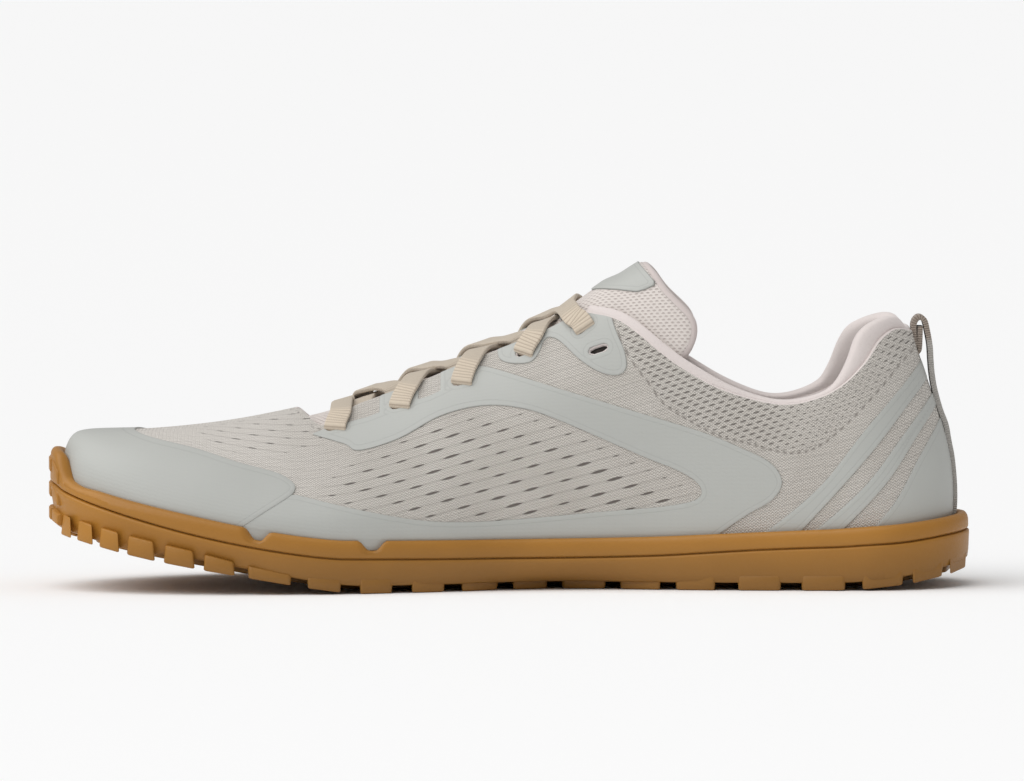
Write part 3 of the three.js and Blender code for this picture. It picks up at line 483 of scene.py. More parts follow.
# Gives a sheet its thickness: lift is the top, under the back, profile the rounded rim
# as (outwards, share of the thickness down from the top), the last row at the back
def thicken(sheet, lift, under, profile):
    points, normals, faces = sheet["points"], sheet["normals"], sheet["faces"]
    rim = rimOf(faces)
    count = len(points)
    lift, under = np.broadcast_to(lift, count), np.broadcast_to(under, count)
    top = points + normals * lift[:, None]
    back = points + normals * under[:, None]
    ahead, behind = np.arange(count), np.arange(count)
    ahead[rim[:, 0]] = rim[:, 1]
    behind[rim[:, 1]] = rim[:, 0]
    border = np.unique(rim)
    place = np.zeros(count, int)
    place[border] = np.arange(len(border))
    out = np.cross(points[ahead[border]] - points[behind[border]], normals[border])
    out /= np.maximum(np.linalg.norm(out, axis=1, keepdims=True), 1e-9)
    depth = (lift - under)[border, None]
    rings = [top[border] + out * wide - normals[border] * depth * down for wide, down in profile]
    back[border] = rings.pop()
    front = [face for part in faces for face in part.tolist()]
    backStart = count + len(rings) * len(border)
    allFaces = front + [[backStart + k for k in reversed(face)] for face in front]
    u, v = rim[:, 0], rim[:, 1]
    steps = [(u, v)] + [(count + k * len(border) + place[u], count + k * len(border) + place[v])
                        for k in range(len(rings))] + [(backStart + u, backStart + v)]
    for (highU, highV), (lowU, lowV) in zip(steps[:-1], steps[1:]):
        allFaces += np.stack([lowU, lowV, highV, highU], -1).tolist()
    source = np.concatenate([np.arange(count)] + [border] * len(rings) + [np.arange(count)])
    return {"verts": np.concatenate([top] + rings + [back]), "faces": allFaces,
            "patternPlace": sheet["patternPlace"][source], "inset": insetOf(sheet)[source],
            "source": source}


def ringFaces(rows, count):
    i, j = np.meshgrid(np.arange(rows - 1), np.arange(count), indexing="ij")
    a, b = i * count + j, i * count + (j + 1) % count
    return np.stack([a, a + count, b + count, b], -1).reshape(-1, 4)


# Skin over rings, capped at both ends; run and across give the pattern place
def tube(loops, run, across):
    rows, count = loops.shape[:2]
    caps = [list(range(count)), [(rows - 1) * count + k for k in range(count)][::-1]]
    pattern = np.stack([np.repeat(run, count), np.tile(across, rows), np.zeros(rows * count)], -1)
    return {"verts": loops.reshape(-1, 3), "faces": ringFaces(rows, count).tolist() + caps,
            "patternPlace": pattern}


def joinParts(parts):
    made, start = {"faces": []}, 0
    for part in parts:
        made["faces"] += [[start + k for k in face] for face in part["faces"]]
        start += len(part["verts"])
    for key in ("verts", "patternPlace"):
        made[key] = np.concatenate([part[key] for part in parts])
    return made


def activate(piece):
    deselectAll()
    piece.select_set(True)
    bpy.context.view_layer.objects.active = piece


def toMetres(points):
    return (np.asarray(points) + np.array(shoe["shift"])) / 1000


def linkPiece(name, mesh):  # a new object at the origin
    piece = bpy.data.objects.new(name, mesh)
    bpy.context.collection.objects.link(piece)
    return piece


def smoothShade(piece, angle=None):
    piece.data.polygons.foreach_set("use_smooth", np.ones(len(piece.data.polygons), bool))
    if angle:
        activate(piece)
        bpy.ops.object.shade_smooth_by_angle(angle=math.radians(angle))


def faceOutward(piece, weld=None):
    activate(piece)
    bpy.ops.object.mode_set(mode="EDIT")
    bpy.ops.mesh.select_all(action="SELECT")
    if weld:
        bpy.ops.mesh.remove_doubles(threshold=weld)
    bpy.ops.mesh.normals_make_consistent(inside=False)
    bpy.ops.object.mode_set(mode="OBJECT")


def makePiece(name, made, material, replaced, smoothAngle=None):
    mesh = bpy.data.meshes.new(name)
    mesh.from_pydata(toMetres(made["verts"]).tolist(), [], made["faces"])
    mesh.validate()
    mesh.update()
    piece = linkPiece(name, mesh)
    for key in ("patternPlace", "knitPlace", "panelPlace", "inset"):
        if key in made:
            kind, part = ("FLOAT", "value") if key == "inset" else ("FLOAT_VECTOR", "vector")
            layer = mesh.attributes.new(key, kind, "POINT")
            layer.data.foreach_set(part, np.asarray(made[key], float).ravel())
    mesh.materials.append(material)
    smoothShade(piece, smoothAngle)
    finishPiece(piece, replaced)
    return piece


def finishPiece(piece, replaced):
    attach(piece, "root")
    if replaced:
        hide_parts(*replaced)
    faces = sum(len(p.vertices) - 2 for p in piece.data.polygons)
    print(" ", piece.name, faces, "triangles")


# Materials
def addNode(tree, kind, **settings):
    node = tree.nodes.new(kind)
    for name, value in settings.items():
        setattr(node, name, value)
    return node


def feed(socket, value):
    if isinstance(value, bpy.types.NodeSocket):
        socket.id_data.links.new(value, socket)
    else:
        socket.default_value = value


def calc(operation, *values):
    owner = next(value for value in values if isinstance(value, bpy.types.NodeSocket))
    node = addNode(owner.id_data, "ShaderNodeMath", operation=operation)
    for socket, value in zip(node.inputs, values):
        feed(socket, value)
    return node.outputs[0]


def times(one, two):
    return calc("MULTIPLY", one, two)


def timesPlus(one, two, three):
    return calc("MULTIPLY_ADD", one, two, three)


def over(one, two):
    return calc("DIVIDE", one, two)


def plus(one, two):
    return calc("ADD", one, two)


def minus(one, two):
    return calc("SUBTRACT", one, two)


def ramp(value, fromLow, fromHigh, toLow=0.0, toHigh=1.0, kind="SMOOTHSTEP"):
    node = addNode(value.id_data, "ShaderNodeMapRange", interpolation_type=kind)
    for socket, part in zip(node.inputs, (value, fromLow, fromHigh, toLow, toHigh)):
        feed(socket, part)
    return node.outputs[0]


def blendColour(share, one, two):
    node = addNode(share.id_data, "ShaderNodeMix", data_type="RGBA")
    for k, value in ((0, share), (6, one), (7, two)):
        feed(node.inputs[k], value)
    return node.outputs[2]


def newGroup(name, inputs, outputs):
    group = bpy.data.node_groups.new(name, "ShaderNodeTree")
    sockets = [(label, "INPUT") for label in inputs] + [(label, "OUTPUT") for label in outputs]
    for label, way in sockets:
        socket = group.interface.new_socket(label, in_out=way, socket_type="NodeSocketFloat")
        if way == "INPUT":
            socket.default_value = inputs[label]
    return group, addNode(group, "NodeGroupInput"), addNode(group, "NodeGroupOutput")


def useGroup(tree, group, **values):
    node = addNode(tree, "ShaderNodeGroup")
    node.node_tree = group
    for label, value in values.items():
        feed(node.inputs[label], value)
    return node.outputs


def buildYarnRows():  # wavy rows of yarn, pitch and wave in millimetres
    group, given, result = newGroup("yarnRows", {
        "Along": 0.0, "Across": 0.0, "Pitch": 0.8, "Stitch": 1.1, "Wave": 0.3}, ["Height", "Gap"])
    along, across, pitch, stitch, wave = given.outputs[:5]
    row = over(across, pitch)
    turn = times(over(along, stitch), math.tau)
    bend = times(calc("SINE", turn), wave)
    phase = times(plus(row, bend), math.tau)
    swell = timesPlus(calc("COSINE", phase), 0.5, 0.5)
    knot = timesPlus(calc("COSINE", times(turn, 2.0)), 0.12, 0.88)
    height = times(calc("POWER", swell, 0.6), knot)
    feed(result.inputs[0], height)
    # Gap marks the hollow between yarn rows, where the knit paints shade
    feed(result.inputs[1], ramp(swell, 0.32, 0.04))
    return group


def buildHoleLattice():  # long holes on a slanted lattice, a lens each
    group, given, result = newGroup("holeLattice", {
        "Along": 0.0, "Across": 0.0, "Step": 10.0, "Row": 3.4, "Stagger": 4.8,
        "HalfLength": 2.4, "HalfWidth": 0.45}, ["Hole", "Line"])
    along, across, step, row, stagger, halfLength, halfWidth = given.outputs[:7]
    rows = over(across, row)
    index = calc("ROUND", rows)
    off = times(minus(rows, index), row)
    run = over(minus(along, times(index, stagger)), step)
    left = times(minus(run, calc("ROUND", run)), step)
    share = over(left, calc("MAXIMUM", halfLength, 0.01))
    lens = minus(1.0, times(share, share))
    edge = minus(times(lens, halfWidth), calc("ABSOLUTE", off))
    feed(result.inputs[0], ramp(edge, -0.06, 0.14))
    feed(result.inputs[1], ramp(calc("ABSOLUTE", off), 0.2, 0.05))
    return group


def buildGrain():  # fine grain and broad tone on object coordinates
    group, given, result = newGroup(
        "surfaceGrain", {"Fine": 900.0, "Broad": 25.0}, ["Height", "Tone"])
    place = addNode(group, "ShaderNodeTexCoord").outputs["Object"]
    for k, detail in ((0, 3.0), (1, 2.0)):
        noise = addNode(group, "ShaderNodeTexNoise")
        feed(noise.inputs["Vector"], place)
        feed(noise.inputs["Scale"], given.outputs[k])
        noise.inputs["Detail"].default_value = detail
        feed(result.inputs[k], noise.outputs[0])
    return group


def buildCrossRibs():  # ribs across a tape, with a fine weave between
    group, given, result = newGroup("crossRibs", {
        "Along": 0.0, "Across": 0.0, "Rib": 1.0, "Yarn": 0.5}, ["Height", "Gap"])
    along, across, rib, yarn = given.outputs[:4]

    def swell(value, pitch):
        turn = times(over(value, pitch), math.tau)
        return timesPlus(calc("COSINE", turn), 0.5, 0.5)

    ribs = swell(along, rib)
    yarns = times(swell(across, yarn), 0.35)
    feed(result.inputs[0], plus(calc("POWER", ribs, 0.6), yarns))
    # Gap marks the hollows between ribs, where the tapes paint shade
    feed(result.inputs[1], ramp(ribs, 0.35, 0.02))
    return group


yarnRows, holeLattice = buildYarnRows(), buildHoleLattice()
surfaceGrain, crossRibs = buildGrain(), buildCrossRibs()


def newMaterial(name, roughness, **sockets):
    material = bpy.data.materials.new(name)
    material.use_nodes = True
    tree = material.node_tree
    shader = tree.nodes["Principled BSDF"]
    shader.inputs["Roughness"].default_value = roughness
    for socket, value in sockets.items():
        shader.inputs[socket.replace("_", " ")].default_value = value
    return material, tree, shader


def readPlace(tree, name="patternPlace"):
    node = addNode(tree, "ShaderNodeAttribute", attribute_name=name)
    parts = addNode(tree, "ShaderNodeSeparateXYZ")
    feed(parts.inputs[0], node.outputs["Vector"])
    return parts.outputs


def readInset(tree):
    return addNode(tree, "ShaderNodeAttribute", attribute_name="inset").outputs["Fac"]


def raiseBump(shader, height, distance, strength):
    bump = addNode(shader.id_data, "ShaderNodeBump")
    bump.inputs["Strength"].default_value = strength
    bump.inputs["Distance"].default_value = distance / 1000
    feed(bump.inputs["Height"], height)
    feed(shader.inputs["Normal"], bump.outputs[0])


def makeRubber():
    material, tree, shader = newMaterial("gumRubber", 0.45, Specular_IOR_Level=0.4)
    grain = useGroup(tree, surfaceGrain, Fine=1400.0, Broad=30.0)
    tone = ramp(grain["Tone"], 0.35, 0.65)
    colour = blendColour(tone, (0.37, 0.163, 0.022, 1), (0.42, 0.187, 0.026, 1))
    place = addNode(tree, "ShaderNodeSeparateXYZ")
    feed(place.inputs[0], addNode(tree, "ShaderNodeTexCoord").outputs["Object"])
    # Painted shade: the rubber darkens towards its bottom edge, standing in for the shade under the
    # sole's wall
    foot = ramp(place.outputs[2], 0.002, 0.019, 0.7, 0.0)
    colour = blendColour(foot, colour, (0.2, 0.095, 0.018, 1))
    feed(shader.inputs["Base Color"], colour)
    feed(shader.inputs["Roughness"], ramp(grain["Height"], 0.3, 0.7, 0.4, 0.52))
    raiseBump(shader, grain["Height"], 0.09, 0.6)
    return material


def makeKnit():
    material, tree, shader = newMaterial(
        "knitCloth", 0.88, Sheen_Weight=0.15, Specular_IOR_Level=0.2)
    along, across, zone = readPlace(tree, "knitPlace")
    panel, seam, coarse = readPlace(tree, "panelPlace")
    depth = readInset(tree)
    grain = useGroup(tree, surfaceGrain, Fine=1800.0, Broad=60.0)
    fine = useGroup(tree, yarnRows, Along=along, Across=across, Pitch=0.86, Stitch=1.12, Wave=0.3)
    slitSize = times(zone, ramp(grain["Tone"], 0.35, 0.65, 0.75, 1.15, "LINEAR"))
    slits = useGroup(tree, holeLattice, Along=along, Across=across, Step=10.2, Row=3.45,
                     Stagger=-4.85, HalfLength=times(slitSize, 2.4),
                     HalfWidth=times(slitSize, 0.4))
    rowLine = times(slits["Line"], ramp(zone, 0.02, 0.35))
    mesh = useGroup(tree, holeLattice, Along=panel, Across=seam, Step=3.2, Row=1.55, Stagger=1.6,
                    HalfLength=times(coarse, 1.15), HalfWidth=times(coarse, 0.3))
    dots = useGroup(tree, holeLattice, Along=panel, Across=seam, Step=1.45, Row=1.32, Stagger=0.72,
                    HalfLength=0.5, HalfWidth=0.2)
    fineDots = times(times(dots["Hole"], ramp(depth, 0.0, 0.5)), ramp(coarse, 0.75, 0.35))
    stitch = timesPlus(calc("SINE", times(along, 2.9)), 0.5, 0.5)
    hem = times(ramp(calc("ABSOLUTE", depth), 0.5, 0.2), stitch)
    hole = calc("MAXIMUM", slits["Hole"], times(mesh["Hole"], 0.85))
    faint = calc("MAXIMUM", times(fineDots, 0.5), times(hem, 0.6))
    # Painted light: the knit turns paler towards the toe, where the light falls more strongly, and
    # the painted shade in its row gaps weakens there
    paler, gapShade = (ramp(along, -45.0, -85.0, *ends) for ends in ((0.0, 0.85), (0.6, 0.4)))
    colour = blendColour(ramp(grain["Tone"], 0.3, 0.7), (0.61, 0.575, 0.525, 1),
                         (0.65, 0.615, 0.565, 1))
    # Painted shade: the gaps between yarn rows, the row grooves, the dot and seam stitch dents and
    # the holes of the slits and mesh are coloured dark for the shade that falls in them
    for share, paint in (
            (paler, (0.73, 0.69, 0.64, 1)),
            (times(fine["Gap"], gapShade), (0.27, 0.24, 0.22, 1)),
            (times(rowLine, 0.3), (0.22, 0.19, 0.17, 1)),
            (faint, (0.17, 0.145, 0.13, 1)),
            (times(hole, 0.85), (0.11, 0.09, 0.08, 1))):
        colour = blendColour(share, colour, paint)
    feed(shader.inputs["Base Color"], colour)
    height = timesPlus(grain["Height"], 0.25, fine["Height"])
    height = minus(height, plus(times(hole, 2.6), times(faint, 1.4)))
    raiseBump(shader, minus(height, times(rowLine, 0.6)), 0.24, 0.85)
    return material


def makeFilm():
    material, tree, shader = newMaterial("weldedFilm", 0.42, Specular_IOR_Level=0.35)
    along, across, _ = readPlace(tree)
    inset = readInset(tree)
    line = ramp(calc("ABSOLUTE", minus(inset, 1.45)), 0.22, 0.05)
    paintedEdgeShade = ramp(inset, 0.22, 0.0)
    yarn = useGroup(tree, yarnRows, Along=along, Across=across, Pitch=1.2, Stitch=2.4, Wave=0.12)
    grain = useGroup(tree, surfaceGrain, Fine=700.0, Broad=14.0)
    colour = blendColour(ramp(grain["Tone"], 0.3, 0.7), (0.445, 0.452, 0.427, 1),
                         (0.475, 0.482, 0.455, 1))
    # Painted shade: the embossed line and the film's outer edge are coloured darker for the shade
    # in the groove and along the step down to the knit
    colour = blendColour(times(line, 0.14), colour, (0.2, 0.2, 0.19, 1))
    colour = blendColour(times(paintedEdgeShade, 0.45), colour, (0.2, 0.2, 0.19, 1))
    feed(shader.inputs["Base Color"], colour)
    feed(shader.inputs["Roughness"], ramp(grain["Tone"], 0.3, 0.7, 0.38, 0.48))
    height = timesPlus(yarn["Height"], 0.2, times(grain["Height"], 0.12))
    height = minus(height, times(line, 0.35))
    raiseBump(shader, height, 0.12, 0.7)
    return material


def makeLining():
    material, tree, shader = newMaterial("softLining", 0.92, Sheen_Weight=0.3)
    grain = useGroup(tree, surfaceGrain, Fine=1500.0, Broad=30.0)
    colour = blendColour(ramp(grain["Tone"], 0.3, 0.7), (0.7, 0.63, 0.605, 1),
                         (0.73, 0.66, 0.635, 1))
    colour = blendColour(ramp(grain["Height"], 0.5, 0.25, 0.0, 0.12), colour, (0.4, 0.34, 0.32, 1))
    feed(shader.inputs["Base Color"], colour)
    raiseBump(shader, grain["Height"], 0.12, 0.6)
    return material


def makeSpacer():
    material, tree, shader = newMaterial("spacerMesh", 0.9, Sheen_Weight=0.2)
    along, across, _ = readPlace(tree)
    mesh = useGroup(tree, holeLattice, Along=along, Across=across, Step=1.9, Row=1.0, Stagger=0.95,
                    HalfLength=0.62, HalfWidth=0.3)
    inset = readInset(tree)
    inner = ramp(inset, 0.15, 0.45)
    hole = times(mesh["Hole"], inner)
    colour = blendColour(inner, (0.63, 0.555, 0.53, 1), (0.71, 0.65, 0.61, 1))
    # Painted shade: the mesh holes are coloured darker for the shade inside them
    colour = blendColour(times(hole, 0.6), colour, (0.42, 0.35, 0.32, 1))
    feed(shader.inputs["Base Color"], colour)
    step = ramp(inset, 0.2, 0.5, 1.0, 0.0)
    raiseBump(shader, minus(step, hole), 0.3, 0.8)
    return material


def makeTape(name, rib, yarn, light, dark, rough, later):
    material, tree, shader = newMaterial(name, 0.85, Sheen_Weight=0.1)
    along, across, _ = readPlace(tree)
    ribs = useGroup(tree, crossRibs, Along=along, Across=across, Rib=rib, Yarn=yarn)
    # Painted shade: the hollows between the ribs take the dark colour
    colour = blendColour(ribs["Gap"], light, dark)
    start, paler = later
    colour = blendColour(ramp(along, start, start + 3.0), colour, paler)
    feed(shader.inputs["Base Color"], colour)
    raiseBump(shader, ribs["Height"], rough, 0.8)
    return material


def makeCloth(name, roughness, dark, light, bump):
    material, tree, shader = newMaterial(name, roughness)
    grain = useGroup(tree, surfaceGrain, Fine=900.0, Broad=20.0)
    feed(shader.inputs["Base Color"], blendColour(grain["Height"], dark, light))
    if bump:
        raiseBump(shader, grain["Height"], bump, 0.6)
    return material


gumRubber, knitCloth, weldedFilm = makeRubber(), makeKnit(), makeFilm()
softLining, spacerMesh = makeLining(), makeSpacer()
footbedCloth = makeCloth("footbedCloth", 0.92, (0.4, 0.38, 0.35, 1), (0.56, 0.54, 0.5, 1), 0.15)
# Painted shade: a near-black colour for the discs that stand in for the shade inside the spare lace
# holes
holeShadeCloth = makeCloth("holeShadeCloth", 0.95, (0.03, 0.026, 0.023, 1), (0.06, 0.05, 0.045, 1), None)
laceWeave = makeTape("laceWeave", 1.05, 0.55, (0.63, 0.54, 0.43, 1), (0.47, 0.385, 0.3, 1), 0.14,
                     (9.0, (0.51, 0.44, 0.355, 1)))
tapeWeave = makeTape("tapeWeave", 0.7, 0.9, (0.33, 0.275, 0.23, 1), (0.18, 0.14, 0.115, 1), 0.25,
                     (26.0, (0.42, 0.4, 0.37, 1)))
print("materials mixed")

# Outlines that cut the upper
above, farOut = 150.0, -50.0
collarRows = [
    (0.44, 1.01), (0.419, 0.981), (0.381, 0.95), (0.337, 0.838), (0.315, 0.79), (0.272, 0.723),
    (0.228, 0.689), (0.195, 0.692), (0.162, 0.729), (0.141, 0.775), (0.119, 0.862),
    (0.105, 0.942), (0.09, 0.988), (0.075, 0.998), (0.05, 0.97),
]
throatRows = [
    (0.735, 0.0), (0.732, 0.07), (0.724, 0.14), (0.712, 0.196), (0.7, 0.21), (0.687, 0.182),
    (0.665, 0.148), (0.63, 0.135), (0.6, 0.129), (0.56, 0.118), (0.52, 0.111), (0.44, 0.13),
    (0.37, 0.15),
]
laceHoles = {
    "rows": [(0.689, 0.575, 20), (0.619, 0.652, 15), (0.552, 0.736, 15), (0.484, 0.843, 20),
             (0.42, 0.932, 40), (0.405, 0.853, 15)],
    "long": 6.4,
    "wide": 2.6,
    "reach": 8,  # how far along its normal a hole cuts
}
collarRaise = {"x": [60, 75, 98, 110, 125], "up": [0.2, 0.8, 0.5, -0.9, -0.9]}
collarEdge = smoothLine(collarRows)
collarOutline = np.vstack([
    [(collarEdge[0][0], above)], collarEdge,
    [(shoe["length"] / 2 + 5, collarEdge[-1][1] - 1), (shoe["length"] / 2 + 5, above)],
])


def buildThroat():
    rows = [(shoe["length"] * (0.5 - at), half * shoe["ballWidth"]) for at, half in throatRows]
    edge = smoothPoints(rows)
    return np.vstack([edge, edge[::-1] * (1, -1)])


throatOutline = buildThroat()


def throatField(points):
    field = inside(throatOutline, points[..., 0], points[..., 1])
    return np.where(points[..., 2] > shoe["instepHeight"] / 3, field, farOut)


def buildHoles():
    holes = []
    for side in (-1, 1):
        for at, rise, slant in laceHoles["rows"]:
            x, z = sidePoint(at, rise)
            s, t = sidePlace(x, z, side)
            point, normal = skinPoint(s, t), skinNormal(s, t)
            slope = math.radians(slant)
            long = np.array([math.cos(slope), 0, math.sin(slope)])
            long = unit(long - long.dot(normal) * normal)
            holes.append({"point": point, "normal": normal, "long": long,
                          "wide": np.cross(normal, long)})
    return holes


holes = buildHoles()


def holeField(points):  # positive inside a lace hole
    field = np.full(points.shape[:-1], farOut)
    straight = (laceHoles["long"] - laceHoles["wide"]) / 2
    for hole in holes:
        away = points - hole["point"]
        a = np.abs(away @ hole["long"])
        b = np.abs(away @ hole["wide"])
        c = np.abs(away @ hole["normal"])
        distance = laceHoles["wide"] / 2 - np.hypot(np.maximum(a - straight, 0), b)
        field = np.maximum(field, np.where(c < laceHoles["reach"], distance, farOut))
    return field


def openField(points):  # positive where the upper is cut away
    raised = np.interp(points[..., 0], collarRaise["x"], collarRaise["up"])
    collarCut = insideView(collarOutline, points) - raised
    return np.maximum(np.maximum(collarCut, throatField(points)), holeField(points))


# How the knit runs: slope of its rows along the foot, where it has slits, and the
# collar panel with its coarse mesh, all as places in the side view
knit = {
    "slopeX": [-140, -100, -75, -50, -30, 45, 70, 140],
    "slope": [-0.2, -0.16, 0.0, 0.17, 0.25, 0.25, 0.12, 0.1],
    "window": [(-58, 30), (-44, 41), (-22, 51.5), (2, 53), (22, 46), (44, 35), (56, 27),
               (46, 20), (10, 19), (-20, 20), (-45, 25)],
    "toeTop": [(-98, 22), (-88, 36), (-66, 34), (-48, 26), (-52, 14), (-70, 12), (-88, 14)],
    "panel": [(30.7, 83.2), (33.1, 76.2), (35.9, 70.4), (38.8, 66.1), (41.7, 62.7), (45.9, 56.8),
              (52.7, 52.0), (63, 46.6), (70.1, 44.8), (78, 42.6), (85.3, 41.4), (92.7, 43.2),
              (100.6, 49.3), (107.9, 56.6), (114.6, 64), (119.5, 69.5), (126, 74), (140, 78)],
    "panelSlope": 0.3,
    "topMiddle": -8,
    "topHalf": 60,
    "topFrom": 30,
    "seamInset": 1.6,
    "seamEnd": -52,
}
panelLine = smoothPoints(knit["panel"], 5)
panelOutline = np.vstack([panelLine, [(140, above), (panelLine[0][0], above)]])


def addKnitPlaces(made, points):
    x, y, z = points.T
    girth = made["patternPlace"][:, 1]
    runX = np.linspace(-145, 145, 300)
    rise = np.cumsum(np.interp(runX, knit["slopeX"], knit["slope"])) * (runX[1] - runX[0])
    row = girth - np.interp(x, runX, rise)

    def within(name, up):
        return inside(smoothPoints(knit[name] + knit[name][:1], 3), x, up)

    window = within("window", z)
    onTop = (np.abs(y - knit["topMiddle"]) < knit["topHalf"]) & (z > knit["topFrom"])
    top = np.where(onTop, within("toeTop", -y), -9)
    zone = np.clip(np.maximum(window / 7 + 0.35, np.minimum(top / 5, 0.55)), 0, 1)
    made["knitPlace"] = np.stack([x, row, zone], -1)
    depth = inside(panelOutline, x, z)
    finer = 1 - 0.55 * smoothstep(x, 74, 96)
    heel = 1 + 0.9 * smoothstep(x, 108, 118)
    coarse = np.clip(np.clip(depth / 1.5, 0, 1) * finer * heel, 0, 1.2)
    slope = knit["panelSlope"]
    made["panelPlace"] = np.stack([x + slope * girth, girth - slope * x, coarse], -1)
    front = -np.abs(throatField(points) + knit["seamInset"])
    made["inset"] = np.where(x < knit["seamEnd"], front, depth)


# Knit upper
upper = {
    "grid": ((0, 1, 285), (0, 1, 169)),
    "rim": [(0.18, 0.04), (0.34, 0.14), (0.4, 0.3), (0.4, 0.7), (0.1, 1)],
}


def buildUpper():
    sheet = cutSheet(*gridOf(upper["grid"]), lambda points, s, t: -openField(points))
    made = thicken(sheet, 0, -shoe["wall"], upper["rim"])
    addKnitPlaces(made, sheet["points"][made["source"]])
    piece = makePiece("knitUpper", made, knitCloth, ["upper"])
    piece.data.materials.append(softLining)
    outerCount = len(sheet["points"])
    inner = [max(p.vertices) >= outerCount for p in piece.data.polygons]
    piece.data.polygons.foreach_set("material_index", np.array(inner, int))


# Dark discs behind the two spare lace holes: painted shade for the dark hollow inside them
holeShadeDiscs = {"sunk": 1.5, "thick": 0.3, "long": 3.6, "wide": 1.7, "corners": 20}


def buildHoleShadeDiscs():
    h = holeShadeDiscs
    turns = np.linspace(0, math.tau, h["corners"], endpoint=False)
    parts = []
    for hole in (holes[5], holes[11]):
        middle = hole["point"] - hole["normal"] * h["sunk"]
        loops = [[middle - hole["normal"] * deep + hole["long"] * h["long"] * math.cos(a)
                  + hole["wide"] * h["wide"] * math.sin(a) for a in turns]
                 for deep in (0.0, h["thick"])]
        parts.append(tube(np.array(loops), [0, 1], turns))
    makePiece("holeShadeDiscs", joinParts(parts), holeShadeCloth, [])


buildUpper()
buildHoleShadeDiscs()
print("upper knitted")

# Film overlays, welded on the knit
film = {
    "lift": 0.36,
    "capLift": 0.52,
    "under": -0.05,
    "rim": [(0.06, 0.06), (0.11, 0.25), (0.12, 0.6), (0.12, 1)],
    "cell": 0.64,
    "edge": 0.12,
    "overlap": 2.5,
    "tipBand": (0.24, 0.33),
    "behindRim": 3.0,
    "buried": 0.2,
    "rise": (0.6, 0.9),
    "span": (330, 190),
    "smooth": 38,
}
saddleRows = {
    "lower": [
        (0.716, 0.551), (0.68, 0.519), (0.663, 0.497), (0.621, 0.537), (0.577, 0.614),
        (0.533, 0.651), (0.49, 0.645), (0.446, 0.6), (0.359, 0.477), (0.315, 0.42),
        (0.295, 0.37), (0.3, 0.324), (0.337, 0.296), (0.402, 0.278), (0.479, 0.257),
        (0.544, 0.247), (0.599, 0.257), (0.664, 0.296), (0.729, 0.347)],
    "foot": [(0.78, 0.36), (0.83, 0.236), (0.83, 0.05), (0.28, 0.05)],
    "back": [
        (0.28, 0.185), (0.269, 0.217), (0.244, 0.278), (0.217, 0.338), (0.207, 0.407),
        (0.219, 0.474), (0.25, 0.521), (0.293, 0.569), (0.359, 0.628), (0.446, 0.712),
        (0.511, 0.775), (0.533, 0.79)],
    "front": [(0.561, 0.726), (0.588, 0.684), (0.621, 0.652), (0.655, 0.61), (0.691, 0.58)],
    "tabHeights": (-0.05, 0.3),
    "tabs": [(0.605, 0.677, 0.7), (0.652, 0.6, 0.642), (0.736, 0.534, 0.576)],
}
eyestayRows = [
    (0.514, 0.9), (0.514, 0.835), (0.509, 0.808), (0.495, 0.799), (0.478, 0.806),
    (0.469, 0.84), (0.463, 0.884), (0.455, 0.892), (0.444, 0.873), (0.424, 0.813),
    (0.402, 0.771), (0.384, 0.763), (0.375, 0.789), (0.377, 0.85), (0.388, 0.94), (0.4, 1.1),
]
toeCapRows = [
    (0.93, 0.6), (0.924, 0.585), (0.904, 0.558), (0.882, 0.537), (0.839, 0.505),
    (0.795, 0.46), (0.751, 0.421), (0.734, 0.388), (0.732, 0.362), (0.739, 0.338),
    (0.762, 0.292), (0.795, 0.225),
]
stripes = {
    "front_stripe": (
        [(0.243, 0.17), (0.206, 0.266), (0.162, 0.409), (0.119, 0.601), (0.075, 0.778),
         (0.03, 0.96)],
        [(0.2, 0.17), (0.152, 0.356), (0.108, 0.533), (0.07, 0.703), (0.03, 0.868)]),
    "rear_stripe": (
        [(0.188, 0.17), (0.119, 0.39), (0.075, 0.59), (0.03, 0.79)],
        [(0.158, 0.17), (0.097, 0.394), (0.059, 0.59), (0.03, 0.73)]),
    "counter": (
        [(0.125, 0.17), (0.086, 0.326), (0.059, 0.496), (0.03, 0.66), (0.01, 0.76)],
        [(-0.03, 0.17), (-0.03, 0.76)]),
}
webWidth = 11.0


def toeCapOutline():
    edge = smoothLine(toeCapRows)
    front = -shoe["length"] / 2 - 10
    return np.vstack([edge, [(edge[-1][0], 0), (front, 0), (front, above), (edge[0][0], above)]])


def saddleOutline():
    r = saddleRows
    return np.vstack([
        smoothLine(r["lower"]), [sidePoint(*row) for row in r["foot"]], smoothLine(r["back"]),
        [sidePoint(*row) for row in r["front"]]])


def tabOutlines():
    down, up = saddleRows["tabHeights"]
    return [np.array([sidePoint(at, level + more) for at, more in (
        (rear, down), (rear, up), (front, up), (front, down))])
            for level, rear, front in saddleRows["tabs"]]


def filmField(points, cut):
    field = np.minimum(cut(points), -openField(points))
    rim = rimLine(shareOf(points[..., 0]))
    return np.minimum(field, points[..., 2] - rim + film["behindRim"]) - film["edge"]


def refine(steps, band, finer):
    low, high = band
    more = int(finer * len(steps) * (high - low) / (steps[-1] - steps[0]))
    return np.unique(np.concatenate([steps[(steps < low) | (steps > high)],
                                     np.linspace(low, high, more)]))


